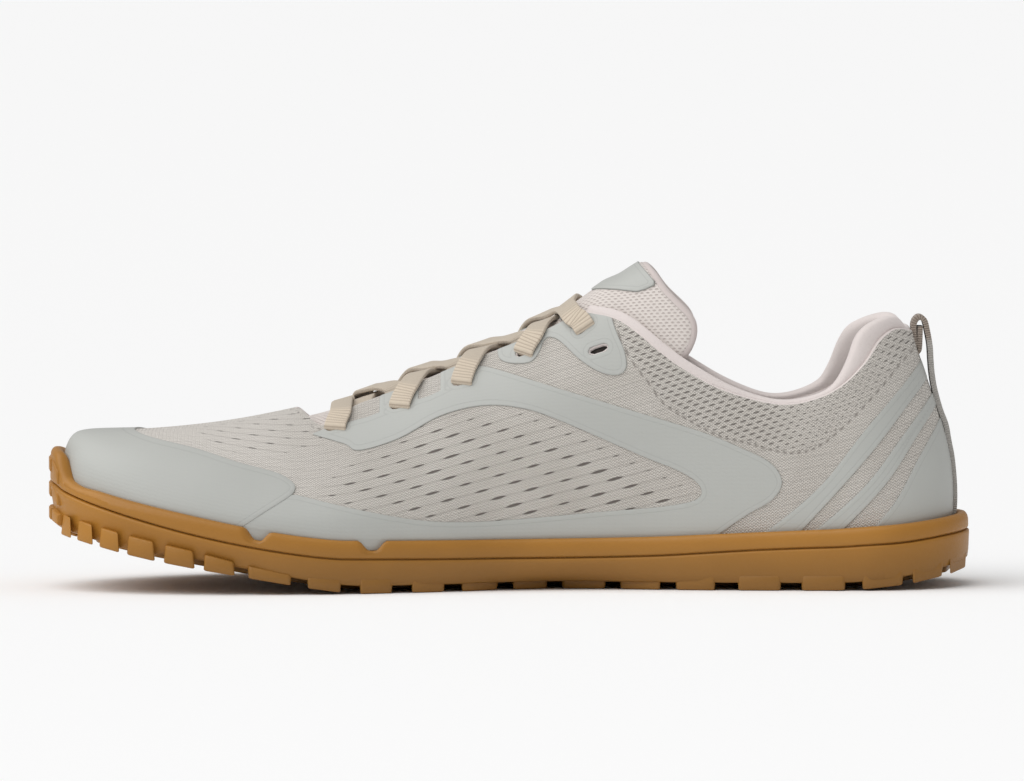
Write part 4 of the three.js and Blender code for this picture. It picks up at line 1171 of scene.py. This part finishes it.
def buildFilm(name, cut, sRange, tRange, nodeName, cell=film["cell"], top=film["lift"],
              fine=None):
    length, girth = (span * (high - low) for span, (low, high)
                     in zip(film["span"], (sRange, tRange)))
    s = np.linspace(*sRange, max(int((length + 1) / cell), 8))
    t = np.linspace(*tRange, max(int(girth / cell) | 1, 9))
    if fine:
        low, high = film["tipBand"]
        s = refine(s, fine, 3)
        t = refine(t, (low, high) if tRange[0] < 0.5 else (1 - high, 1 - low), 2.5)
    sheet = cutSheet(s, t, lambda points, a, b: filmField(points, cut))
    points = sheet["points"]
    rim = rimLine(shareOf(points[:, 0]))
    free = smoothstep(points[:, 2], rim - film["rise"][0], rim + film["rise"][1])
    lift = film["buried"] + (top - film["buried"]) * free
    made = thicken(sheet, lift, film["under"], film["rim"])
    made["inset"] = np.minimum(cut(points), -holeField(points))[made["source"]]
    makePiece(name, made, weldedFilm, [nodeName], film["smooth"])


def buildFilms():
    toe = toeCapOutline()
    saddleLine, tabLines = saddleOutline(), tabOutlines()
    stay = np.vstack([smoothLine(eyestayRows), [sidePoint(0.514, 1.1)]])

    def side(outline):
        return lambda p: insideView(outline, p)

    def saddleCut(p):
        field = insideView(saddleLine, p)
        for line in tabLines:
            field = np.maximum(field, insideView(line, p))
        return np.minimum(field, film["overlap"] - insideView(toe, p))

    buildFilm("toeCapFilm", side(toe), (0.62, 1), (0, 1), "toe_cap", 0.9, film["capLift"])
    for word, half, top in (("inner", (0, 0.5), (0.2, 0.5)), ("outer", (0.5, 1), (0.5, 0.8))):
        buildFilm(word + "SaddleFilm", saddleCut, (0.29, 0.76), half, word + "_saddle",
                  fine=(0.6, 0.66))
        buildFilm(word + "EyestayFilm", side(stay), (0.4, 0.55), top, word + "_eyestay", 0.6)
        for part, (front, rear) in stripes.items():
            rearLine = smoothLine(rear) if len(rear) > 2 else [sidePoint(*r) for r in rear]
            line = np.vstack([smoothLine(front), rearLine[::-1]])

            def stripeCut(p, line=line):
                beside = np.abs(p[..., 1]) - webWidth / 2 - shoe["gap"]
                return np.minimum(insideView(line, p), beside)

            pieceName = word + "".join(w.title() for w in part.split("_")) + "Film"
            buildFilm(pieceName, stripeCut, (0, 0.36), half, word + "_" + part, 0.6)


buildFilms()
print("films welded")

# Rubber cup and lugs
sole = {
    "stations": 420,
    "grooveDepth": 1.3,
    "lugRows": [
        (0.004, 0.025), (0.031, 0.067), (0.075, 0.122), (0.1375, 0.1875), (0.207, 0.256),
        (0.278, 0.323), (0.337, 0.383), (0.396, 0.446), (0.459, 0.499), (0.5125, 0.554),
        (0.57, 0.6075), (0.626, 0.663), (0.681, 0.719), (0.734, 0.783), (0.794, 0.831),
        (0.837, 0.874), (0.88, 0.914), (0.919, 0.944), (0.948, 0.969), (0.9725, 0.9875)],
    "lugGap": 4.6,
    "edgeLug": 13.0,
    "lugInset": (0.12, -0.55),
    "lugTop": (1.4, 2.2),
    "middleLug": 26.0,
    "toeTiers": [(0.12, 0.32), (0.4, 0.62), (0.7, 0.92)],
    "toePads": 4,
    "toeTurn": 0.115,
    "toeDip": 1.5,
    "dipFrom": (0.86, 0.92),
    "toeBack": 1.7,
    "backFrom": (0.72, 0.84),
    "lugFrom": (0.72, 0.86),
    "insetFrom": (0.7, 0.84),
    "lugRound": 0.2,
    "lugRaise": {"at": [0.66, 0.7, 0.74, 0.79, 0.85, 0.9, 0.95, 1],
                 "up": [0, 0.9, 1.5, 1.8, 1.4, 0.9, 0.8, 0.6]},
    "lugTaper": 1.5,
    "lugDraft": 0.5,
    "toeShrink": 1.3,
    "middleEnd": 1.2,
    "middleLean": 2,
    "padGap": 0.1,
    "padTaper": 0.03,
    "padSunk": 2.4,
    "padThick": 2.6,
    "smooth": 50,
    "notches": [(0.776, 3.2, 4.6), (0.651, 3.0, 4.6)],  # at, depth, half width
}


def notchDrop(at):
    drop = np.zeros(np.shape(at))
    for place, depth, half in sole["notches"]:
        away = np.abs(at - place) * shoe["length"]
        drop = np.maximum(drop, depth * (1 - smoothstep(away, 1.0, half)))
    return drop


def lugRaise(at):
    return np.interp(at, sole["lugRaise"]["at"], sole["lugRaise"]["up"])


def cupProfile(at, side):  # from the sole's edge up the wall, over the lip and down inside
    turned = tuck(at, side)
    base, groove, floor = baseLine(at), grooveLine(at), floorLine(at)
    low = base - sole["toeDip"] * smoothstep(at, *sole["dipFrom"]) + lugRaise(at)
    back = sole["toeBack"] * smoothstep(at, *sole["backFrom"])
    rim = rimLine(at) - notchDrop(at)
    deep = sole["grooveDepth"]
    return [
        (9 + turned, low), (5.4 + turned, low), (3.6 + turned * 0.95, low - 0.4),
        (2.2 + turned * 0.85 + back, low - 0.9), (1.1 + turned * 0.7 + back, low - 0.95),
        (0.5 + turned * 0.5 + back, low - 0.5), (0.2 + turned * 0.15 + back * 0.8, base + 1.8),
        (0.1 + turned * 0.02 + back * 0.35, (base + groove) / 2 + 1.2), (0.0, groove - 1.4),
        (0.02, groove - 0.8), (0.1, groove - 0.46), (0.38, groove - 0.28),
        (0.9, groove - 0.18), (deep, groove - 0.06), (deep, groove + 0.1),
        (0.9, groove + 0.2), (0.5, groove + 0.34), (0.32, groove + 0.6),
        (0.25, groove + 1.2), (0.3, (groove + rim) / 2 + 0.3), (0.42, rim - 1.7),
        (0.62, rim - 1.05), (0.95, rim - 0.5), (1.4, rim - 0.15), (2.0, rim),
        (2.7, rim - 0.02), (3.3, rim - 0.25), (4.0, rim - 0.9), (4.6, rim - 2.2),
        (5.0, (rim + floor) / 2), (5.1, floor + 0.7), (5.8, floor),
    ]


def buildCup():
    at = shareAt(np.linspace(0, 1, sole["stations"]))
    sides = []
    for side in (-1, 1):
        line = []
        for inset, z in cupProfile(at, side):
            x, y = planPoint(at, side, inset)
            line.append(np.stack([x, y, np.broadcast_to(z, at.shape)], -1))
        sides.append(line)
    loops = np.stack(sides[0] + sides[1][::-1], 1)
    mesh = bpy.data.meshes.new("treadSole")
    mesh.from_pydata(toMetres(loops.reshape(-1, 3)).tolist(), [],
                     ringFaces(*loops.shape[:2]).tolist())
    mesh.materials.append(gumRubber)
    return mesh


def buildSole():
    piece = linkPiece("treadSole", buildCup())
    faceOutward(piece, weld=0.00002)
    lugs = buildLugs()
    activate(piece)
    for lug in lugs:
        lug.select_set(True)
    bpy.ops.object.join()
    smoothShade(piece, sole["smooth"])
    finishPiece(piece, ["outsole"])


# One lug, a block with rounded edges, copied to each place
def lugBlock():
    deselectAll()
    bpy.ops.mesh.primitive_cube_add(size=2, location=(0, 0, 0))
    block = bpy.context.object
    block.name = "lugBlock"
    block.data.materials.append(gumRubber)
    bevel = block.modifiers.new("rounding", "BEVEL")
    bevel.width = sole["lugRound"]
    bevel.segments = 3
    bpy.ops.object.modifier_apply(modifier="rounding")
    return block


def cornersOf(row, shares):
    rear, front = (shoe["length"] * (0.5 - share) for share in shares)

    def edge(x, side, inset):
        at = shareOf(x)
        return float(planPoint(at, side, inset + tuck(at, side))[1])

    made, taper = [], sole["lugTaper"]
    near, far = sole["lugInset"]
    inset = near + (far - near) * smoothstep(shares[0], *sole["insetFrom"])
    for side in (-1, 1):
        made.append([(rear, edge(rear, side, inset)), (front, edge(front, side, inset)),
                     (front + taper, edge(front, side, sole["edgeLug"])),
                     (rear - taper, edge(rear, side, sole["edgeLug"]))])
    if row + 1 == len(sole["lugRows"]):
        return made
    ahead = shoe["length"] * (0.5 - sum(sole["lugRows"][row + 1]) / 2)
    rear, front = (rear + front) / 2 - sole["middleEnd"], ahead + sole["middleEnd"]
    inner, outer = (edge((rear + front) / 2, side, sole["edgeLug"] + sole["lugGap"])
                    for side in (-1, 1))
    count = round((outer - inner) / sole["middleLug"])
    pitch = (outer - inner + sole["lugGap"]) / max(count, 1)
    for k in range(count):
        left, right = inner + k * pitch, inner + (k + 1) * pitch - sole["lugGap"]
        lean = sole["middleLean"] * (1 if (k + row) % 2 else -1)
        made.append([(rear + lean, left), (rear - lean, right),
                     (front - lean, right), (front + lean, left)])
    return made


def buildLugs():
    block = lugBlock()
    shape = (np.array([v.co[:] for v in block.data.vertices]).T + 1) / 2
    made = [lugPoints(shape, np.array(corners)) for row, shares in enumerate(sole["lugRows"])
            for corners in cornersOf(row, shares)]
    made += [padPoints(shape, low, high, k) for low, high in sole["toeTiers"]
             for k in range(sole["toePads"])]
    lugs = []
    for points in made:
        lug = linkPiece("lug", block.data.copy())
        lug.data.vertices.foreach_set("co", toMetres(points).ravel())
        faceOutward(lug)
        lugs.append(lug)
    bpy.data.objects.remove(block)
    return lugs


def lugPoints(shape, corners):
    u, v, w = shape
    middle = corners.mean(0)
    weights = np.stack([(1 - u) * (1 - v), u * (1 - v), u * v, (1 - u) * v], -1)
    away = weights @ corners - middle
    size = np.linalg.norm(away, axis=1)
    toe = float(smoothstep(shareOf(middle[0]), *sole["lugFrom"]))
    shrink = sole["lugDraft"] * (1 - w) + sole["toeShrink"] * toe * w
    x = middle[0] + away[:, 0] * (1 - shrink / size)
    at = shareOf(x)
    top, more = sole["lugTop"]
    low = tread(at) + lugRaise(at)
    high = baseLine(at) + top + more * smoothstep(at, *sole["lugFrom"])
    return np.column_stack([x, middle[1] + away[:, 1], low + (high - low) * w])


def padPoints(shape, low, high, k):
    first, final = ((k + part) / sole["toePads"] * 2 - 1
                    for part in (sole["padGap"], 1 - sole["padGap"]))
    u, v, w = shape
    shrink = sole["padTaper"] * w
    turn = first + shrink + (final - first - 2 * shrink) * u
    up = low + shrink + (high - low - 2 * shrink) * v
    at = 1 - (sole["toeTurn"] * turn) ** 2
    x, y = planPoint(at, np.where(turn < 0, -1, 1), sole["padSunk"] - sole["padThick"] * w)
    return np.column_stack([x, y, tread(at) + (rimLine(at) - tread(at)) * up])


buildSole()
print("sole moulded")

# Footbed inside
footbed = {
    "thick": 3.0,
    "stations": 160,
    "profile": [(0.012, 0.0), (0.0, 0.3), (0.0, 0.75), (0.015, 0.95), (0.05, 1.02),
                (0.2, 0.98), (0.35, 0.95), (0.5, 0.95)],
}


def buildFootbed():
    s = np.linspace(0, 1, footbed["stations"])
    rows = []
    for t in (np.zeros(s.shape), np.ones(s.shape)):
        normal = skinNormal(s, t) * (1, 1, 0)
        rows.append(skinPoint(s, t) - unit(normal) * (shoe["wall"] + shoe["gap"]))
    low = floorLine(shareAt(s)) + shoe["gap"]
    loops = []
    for near, far, profile in ((rows[0], rows[1], footbed["profile"]),
                               (rows[1], rows[0], footbed["profile"][-2::-1])):
        for share, up in profile:
            flat = near + (far - near) * share
            loops.append(np.column_stack([flat[:, :2], low + footbed["thick"] * up]))
    loops = np.stack(loops, 1)
    faces = np.roll(ringFaces(*loops.shape[:2])[:, ::-1], 1, 1)
    made = {"verts": loops.reshape(-1, 3), "faces": faces.tolist()}
    makePiece("footbed", made, footbedCloth, ["insole"])


buildFootbed()
print("footbed laid")

# Tongue, its label patch, the collar roll and the heel padding
tongue = {
    "out": -2.1,
    "sunk": -3.4,
    "thick": 4.5,
    "rows": [
        (0.375, 1.3), (0.359, 1.185), (0.342, 1.125), (0.328, 1.064), (0.304, 0.99),
        (0.298, 0.94), (0.301, 0.882), (0.312, 0.822), (0.342, 0.74), (0.402, 0.69),
        (0.511, 0.572), (0.621, 0.5), (0.708, 0.5), (0.75, 0.54)],
    "patch": [(15.5, 80.5), (18.5, 84.0), (22.0, 87.2), (26.6, 89.4), (33.0, 90.2), (38.4, 89.8),
              (41.0, 90.6), (44.2, 92.2), (40.4, 96.6), (38.0, 99.0), (33.0, 112.0), (5.0, 112.0)],
    "grid": ((0.335, 0.72, 182), (0.2, 0.8, 121)),
    "patchGrid": ((0.38, 0.5, 110), (0.25, 0.75, 101)),
    "patchThick": 0.45,
    "patchSunk": 0.4,
    "swell": 1.0,
    "plumpOver": 3.0,
    "sinkFrom": (0.43, 0.475),
    "edgeShare": 0.3,  # the rim's reach and the thickness that is left at it
    "edgeThick": 0.72,
    "rimSteps": 5,
}


def shiftedField(offset, outline):  # the side view is cut where the sheet itself lies
    def field(points, s, t):
        return insideView(outline, points + skinNormal(s, t) * offset)

    return field


def swellAt(sheet):  # the tongue arches up in front of its label
    at = shareAt(sheet["s"])
    along = smoothstep(at, 0.36, 0.385) * (1 - smoothstep(at, 0.415, 0.455))
    return tongue["swell"] * along * smoothstep(sheet["points"][:, 2], 80, 87)


def buildTongue():
    outline = np.vstack([smoothLine(tongue["rows"]), [sidePoint(0.75, 0.8), sidePoint(0.6, 1.3)]])
    middle = tongue["out"] - tongue["thick"] / 2
    edge = tongue["thick"] * tongue["edgeShare"]
    shifted = shiftedField(middle, outline)
    sheet = cutSheet(*gridOf(tongue["grid"]),
                     lambda points, s, t: shifted(points, s, t) - edge)
    thin = tongue["edgeThick"]
    half = tongue["thick"] / 2 * (thin + (1 - thin) * plumpAt(sheet, tongue["plumpOver"]))
    turns = [math.pi / 2 * k / tongue["rimSteps"] for k in range(1, tongue["rimSteps"])]
    profile = [(edge * math.sin(a), 0.5 - 0.5 * math.cos(a)) for a in turns]
    profile += [(edge, 0.5)] + [(wide, 1 - down) for wide, down in profile[::-1]] + [(0, 1)]
    sinking = smoothstep(shareAt(sheet["s"]), *tongue["sinkFrom"])
    level = middle + (tongue["sunk"] - tongue["out"]) * sinking + swellAt(sheet)
    made = thicken(sheet, level + half, level - half, profile)
    piece = makePiece("tonguePad", made, spacerMesh, ["tongue"])


def buildPatch():
    sheet = cutSheet(*gridOf(tongue["patchGrid"]),
                     shiftedField(tongue["out"], np.array(tongue["patch"])))
    level = tongue["out"] + swellAt(sheet)
    made = thicken(sheet, level + tongue["patchThick"], level - tongue["patchSunk"], film["rim"])
    makePiece("tonguePatch", made, weldedFilm, ["tongue_patch"])


collar = {
    "foot": 4.6,
    "padThick": 4.6,
    "rise": {  # height of the crest over the frame's cut
        "at": [0, 0.05, 0.075, 0.09, 0.102, 0.108, 0.12, 0.13, 0.145, 0.16, 0.19, 0.22, 0.26,
               0.3, 0.36, 0.44],
        "inner": [3.8, 3.6, 3.5, 3.9, 5.2, 5.5, 4.5, 3.6, 2.6, 2.1, 2.2, 2.3, 2.6, 3.0, 3.1, 3.0],
        "outer": [3.8, 3.6, 3.5, 3.8, 5.5, 7.0, 7.0, 5.7, 4.2, 2.8, 1.9, 1.5, 2.4, 3.0, 3.1, 3.0],
    },
    "section": [(-0.2, -0.45), (-0.14, 0.0), (-0.09, 0.35), (-0.1, 0.6), (-0.17, 0.84),
                (-0.33, 0.98), (-0.52, 1.0), (-0.8, 0.85), (-1.0, 0.45), (-1.0, -0.6)],
    "padFrom": (0.22, 0.3),
    "rollPitch": 0.9,
    "heelShares": [0.8, 0.6, 0.45, 0.3, 0.18, 0.08, 0.03],
    "padGrid": ((0, 0.4, 120), (0, 1, 181)),
    "padEdge": 0.9,
    "padSunk": 1.5,
    "padOver": 16.0,
    "padCut": 0.6,
    "padTop": (-14, -3),
    "padRim": [(0.4, 0.2), (0.6, 0.5), (0.5, 0.8), (0, 1)],
    "padRows": [(0.29, 0.735), (0.3, 0.6), (0.25, 0.45), (0.184, 0.39), (0.119, 0.42),
                (0.07, 0.5), (-0.02, 0.56)],
}


def collarFrames():
    line = smoothPoints([sidePoint(*row) for row in collarRows[1:]], 9)
    z = line[-1][1] - 0.6
    backX = float(skinPoint(0.0, heightPlace(np.array(0.0), np.array(z), 1))[0])
    line = line[line[:, 0] < backX - 3]
    halves = []
    for side in (-1, 1):
        s, t = sidePlace(line[:, 0], line[:, 1], side)
        heelAt = shareAt(s)[-1] * np.array(collar["heelShares"])
        heelT = heightPlace(heelAt, np.full(heelAt.shape, z), side)
        halves.append((np.concatenate([s, stationOf(heelAt)]), np.concatenate([t, heelT])))
    backT = float(heightPlace(np.array(0.0), np.array(z), 1))
    s = np.concatenate([halves[0][0], [0.0], halves[1][0][::-1]])
    t = np.concatenate([halves[0][1], [backT], halves[1][1][::-1]])
    return s, t


def buildRoll():
    s, t = collarFrames()
    points, normals = skinPoint(s, t), skinNormal(s, t)
    relax(points, 3)
    up = unit(np.cross(normals, unit(np.gradient(points, axis=0))))
    up *= np.where(up[:, 2:] < 0, -1, 1)
    padded = 1 - smoothstep(shareAt(s), *collar["padFrom"])
    thick = shoe["wall"] - shoe["gap"] + padded * collar["padThick"]
    share = shareOf(points[:, 0])
    tall = np.where(points[:, 1] < 0, readRows(collar["rise"], "inner", share),
                    readRows(collar["rise"], "outer", share))
    relax(tall, 6)
    relaxUnits(up, 6)
    loops = []
    for out, rise in smoothPoints(collar["section"], 4):
        wide = out * (thick if out < 0 else shoe["wall"])
        high = rise * (tall if rise > 0 else collar["foot"])
        loops.append(points + normals * np.reshape(wide, (-1, 1)) + up * np.reshape(high, (-1, 1)))
    made = tube(np.stack(loops, 1), runOf(points), np.arange(len(loops)) * collar["rollPitch"])
    piece = makePiece("collarRoll", made, softLining, ["collar_roll"])


def buildPadding():
    edge = smoothLine(collar["padRows"])
    outline = np.vstack([edge, [sidePoint(-0.02, 1.2), sidePoint(0.29, 1.2)]])
    offset = -shoe["wall"] - shoe["gap"]
    wanted = shiftedField(offset - collar["padSunk"], outline)
    cut = shiftedField(offset - collar["padSunk"], collarOutline)
    sheet = cutSheet(
        *gridOf(collar["padGrid"]),
        lambda *place: np.minimum(wanted(*place), -cut(*place)) - collar["padCut"])
    nearTop = smoothstep(insideView(collarOutline, sheet["points"]), *collar["padTop"])
    full = np.maximum(plumpAt(sheet, collar["padOver"]), nearTop)
    depth = collar["padEdge"] + (collar["padThick"] - collar["padEdge"]) * full
    made = thicken(sheet, offset, offset - depth, collar["padRim"])
    piece = makePiece("heelPadding", made, softLining, ["heel_padding"])


buildTongue()
buildPatch()
buildRoll()
buildPadding()
print("tongue and collar padded")

# Heel tape with its loop
tape = {
    "width": webWidth,
    "thick": 1.6,
    "across": 9,
    "bevel": 0.3,
    "smooth": 60,
    "line": [(124.8, 78.8), (124.7, 75.0), (124.5, 71.9), (123.8, 71.0), (123.2, 72.0),
             (122.9, 76.5), (123.0, 79.8), (124.4, 81.5), (126.1, 80.6),
             (127.0, 77.3), (127.8, 72.9), (128.1, 68.3), (128.5, 64.0), (129.3, 59.5),
             (130.9, 53.7), (132.7, 48.8), (133.6, 44.0), (134.5, 39.4), (135.1, 34.0),
             (135.4, 28.6), (135.3, 23.7), (134.6, 19.5)],
}


def buildTape():
    line = smoothPoints(tape["line"])
    deselectAll()
    bpy.ops.mesh.primitive_plane_add(size=1, location=(0, 0, 0))
    piece = bpy.context.object
    piece.name = "heelTape"
    mesh = piece.data
    rows, count = len(line), tape["across"]
    across = np.linspace(0, tape["width"], count)
    verts = np.column_stack([np.repeat(line[:, 0], count),
                             np.tile(across - tape["width"] / 2, rows),
                             np.repeat(line[:, 1], count)])
    a = (np.arange(rows - 1)[:, None] * count + np.arange(count - 1)).ravel()
    faces = np.stack([a, a + 1, a + count + 1, a + count], -1)
    mesh.clear_geometry()
    mesh.from_pydata(toMetres(verts).tolist(), [], faces.tolist())
    layer = mesh.attributes.new("patternPlace", "FLOAT_VECTOR", "POINT")
    pattern = np.column_stack([np.repeat(runOf(line), count), np.tile(across, rows),
                               np.zeros(len(verts))])
    layer.data.foreach_set("vector", pattern.ravel())
    mesh.materials.append(tapeWeave)
    solid = piece.modifiers.new("tapeThickness", "SOLIDIFY")
    solid.thickness = tape["thick"] / 1000
    solid.offset = 0
    bevel = piece.modifiers.new("tapeEdge", "BEVEL")
    bevel.width = tape["bevel"] / 1000
    bevel.segments = 2
    bpy.ops.object.modifier_apply(modifier="tapeThickness")
    bpy.ops.object.modifier_apply(modifier="tapeEdge")
    smoothShade(piece, tape["smooth"])
    finishPiece(piece, ["pull_tab"])


buildTape()
print("heel tape sewn on")

# Laces
lace = {
    "width": 6.6,
    "thick": 1.3,
    "corner": 0.42,
    "over": -0.3,  # levels of the straps in the throat
    "under": -2.7,
    "bar": -2.5,
    "edgeStops": (-4.0, -0.8, 2.0),  # places across the throat's edge
    "beyondEdge": 0.2,
    "lean": 0.35,
    "lifts": (0.0, 0.1, 0.3),  # over the seat, from the hole to the edge
    "filmGap": 0.12,
    "step": 0.35,
    "bend": 0.95,  # into a hole: radius, distance before it and depth
    "past": 0.75,
    "dive": 2.2,
    "slide": 3.4,  # how far a strap runs back from its hole to the throat's edge
    "barSlide": 1.6,
    "topSlide": -3.5,
    "barBow": 1.5,
    "firstAhead": 6.8,
    "lastBack": 2.5,
    "ease": 30,
    "easeTurn": 12,
    "paleRun": 9.0,
}
lace["seat"] = film["lift"] + lace["filmGap"] + lace["thick"] / 2


def skinTree():
    count = 160
    s, t = np.meshgrid(np.linspace(0.3, 0.85, count), np.linspace(0.05, 0.95, count), indexing="ij")
    a = (np.arange(count - 1)[:, None] * count + np.arange(count - 1)).ravel()
    faces = np.stack([a, a + 1, a + count + 1, a + count], -1)
    return BVHTree.FromPolygons(skinPoint(s, t).reshape(-1, 3).tolist(), faces.tolist())


skinFaces = skinTree()
throatTable = {"at": [row[0] for row in throatRows[::-1]],
               "half": [row[1] for row in throatRows[::-1]]}


def fromAbove(x, y):
    point, normal, _, _ = skinFaces.ray_cast(Vector((x, y, above)), Vector((0, 0, -1)))
    if normal.z < 0:
        normal = -normal
    return np.array(point), np.array(normal)


def throatHalf(x):
    return shoe["ballWidth"] * float(readRows(throatTable, "half", shareOf(x)))


def fromHole(hole, slide):  # straight up from the hole, then over the throat's edge
    point = hole["point"]
    up = hole["wide"] * (1 if hole["wide"][2] > 0 else -1)
    place = point + up * (lace["bend"] - lace["past"])
    near = point[0] + slide
    edge = math.copysign(throatHalf(near) + lace["beyondEdge"], point[1])
    between = place[0] * (1 - lace["lean"]) + near * lace["lean"]
    first, second, third = (lace["seat"] + lift for lift in lace["lifts"])
    return [(place[0], place[1], first), (between, (place[1] + edge) / 2, second),
            (near, edge, third)]


def underEdge(x, side, level):  # down to the tongue and on under the throat's edge
    edge, under = throatHalf(x), lace["under"]
    stops = zip(lace["edgeStops"], ((level + under) / 2, under, under - 0.05))
    return [(x, side * (edge + beyond), height) for beyond, height in stops]


# A strap along its stops; where it starts or ends in a hole it bends down into it
def laceStrap(stops, startHole, endHole):
    line = smoothPoints(stops, 24)
    run = runOf(line)
    even = np.linspace(0, run[-1], int(run[-1] / lace["step"]))
    line = np.stack([np.interp(even, run, column) for column in line.T], -1)
    relax(line, lace["ease"])
    ground, normals = (np.array(rows) for rows in zip(*[fromAbove(x, y) for x, y, _ in line]))
    relaxUnits(normals, lace["easeTurn"])
    wide = unit(np.cross(np.gradient(ground, axis=0), normals))
    centres = ground + normals * line[:, 2:]
    if startHole:
        centres, wide = bendDown(centres, wide, normals)
    if endHole:
        centres, wide = (rows[::-1] for rows in bendDown(centres[::-1], wide[::-1], normals[::-1]))
    run = runOf(centres)
    if endHole:
        run = np.minimum(run, run[-1] - run) if startHole else run[-1] - run
    elif not startHole:
        run += lace["paleRun"]
    return sweepStrap(centres, wide, run)


def bendDown(centres, wide, normals):
    outward = unit(centres[0] - centres[2])
    down = -normals[0]
    r = lace["bend"]
    extra = [centres[0] + outward * r * math.sin(a) + down * r * (1 - math.cos(a))
             for a in np.radians([15, 30, 45, 60, 75, 90])]
    extra += [extra[-1] + down * deep for deep in np.arange(0.4, lace["dive"], 0.4)]
    extra = np.array(extra[::-1])
    return np.vstack([extra, centres]), np.vstack([np.repeat(wide[:1], len(extra), 0), wide])


def sweepStrap(centres, wide, run):
    thick = unit(np.cross(wide, unit(np.gradient(centres, axis=0))))
    corner = lace["corner"]
    section = []
    for sx, sy in ((1, 1), (-1, 1), (-1, -1), (1, -1)):
        for k in range(4):
            a = math.radians(30 * k) if sx * sy > 0 else math.radians(90 - 30 * k)
            section.append((sx * (0.5 * lace["width"] - corner * (1 - math.cos(a))),
                            sy * (0.5 * lace["thick"] - corner * (1 - math.sin(a)))))
    loops = np.stack([centres + wide * w + thick * h for w, h in section], 1)
    return tube(loops, run, [w for w, h in section])


def crossing(start, side):
    near, far = holes[(0 if side < 0 else 6) + start], holes[(6 if side < 0 else 0) + start + 1]
    nearX, farX = near["point"][0], far["point"][0]
    level = lace["under"] if side < 0 else lace["over"]
    first = (underEdge(nearX + lace["firstAhead"], side, level)[::-1] if start == 0
             else fromHole(near, lace["slide"]))
    final = (fromHole(far, lace["topSlide"])[::-1] if start == 3
             else underEdge(farX - lace["lastBack"], -side, level))
    return laceStrap(first + [((nearX + farX) / 2, 0, level)] + final, start > 0, start == 3)


def buildLaces():
    ends = [fromHole(hole, lace["barSlide"]) for hole in (holes[0], holes[6])]
    middle = (holes[0]["point"][0] + holes[6]["point"][0]) / 2 + lace["barBow"]
    stops = ends[0] + [(middle, 0, lace["bar"])] + ends[1][::-1]
    makePiece("laceBar", laceStrap(stops, True, True), laceWeave, ["lace_bar"])
    for start in range(4):
        made = joinParts([crossing(start, -1), crossing(start, 1)])
        number = str(start + 1)
        makePiece("laceCross" + number, made, laceWeave, ["lace_cross_" + number])


buildLaces()
print("laces threaded")
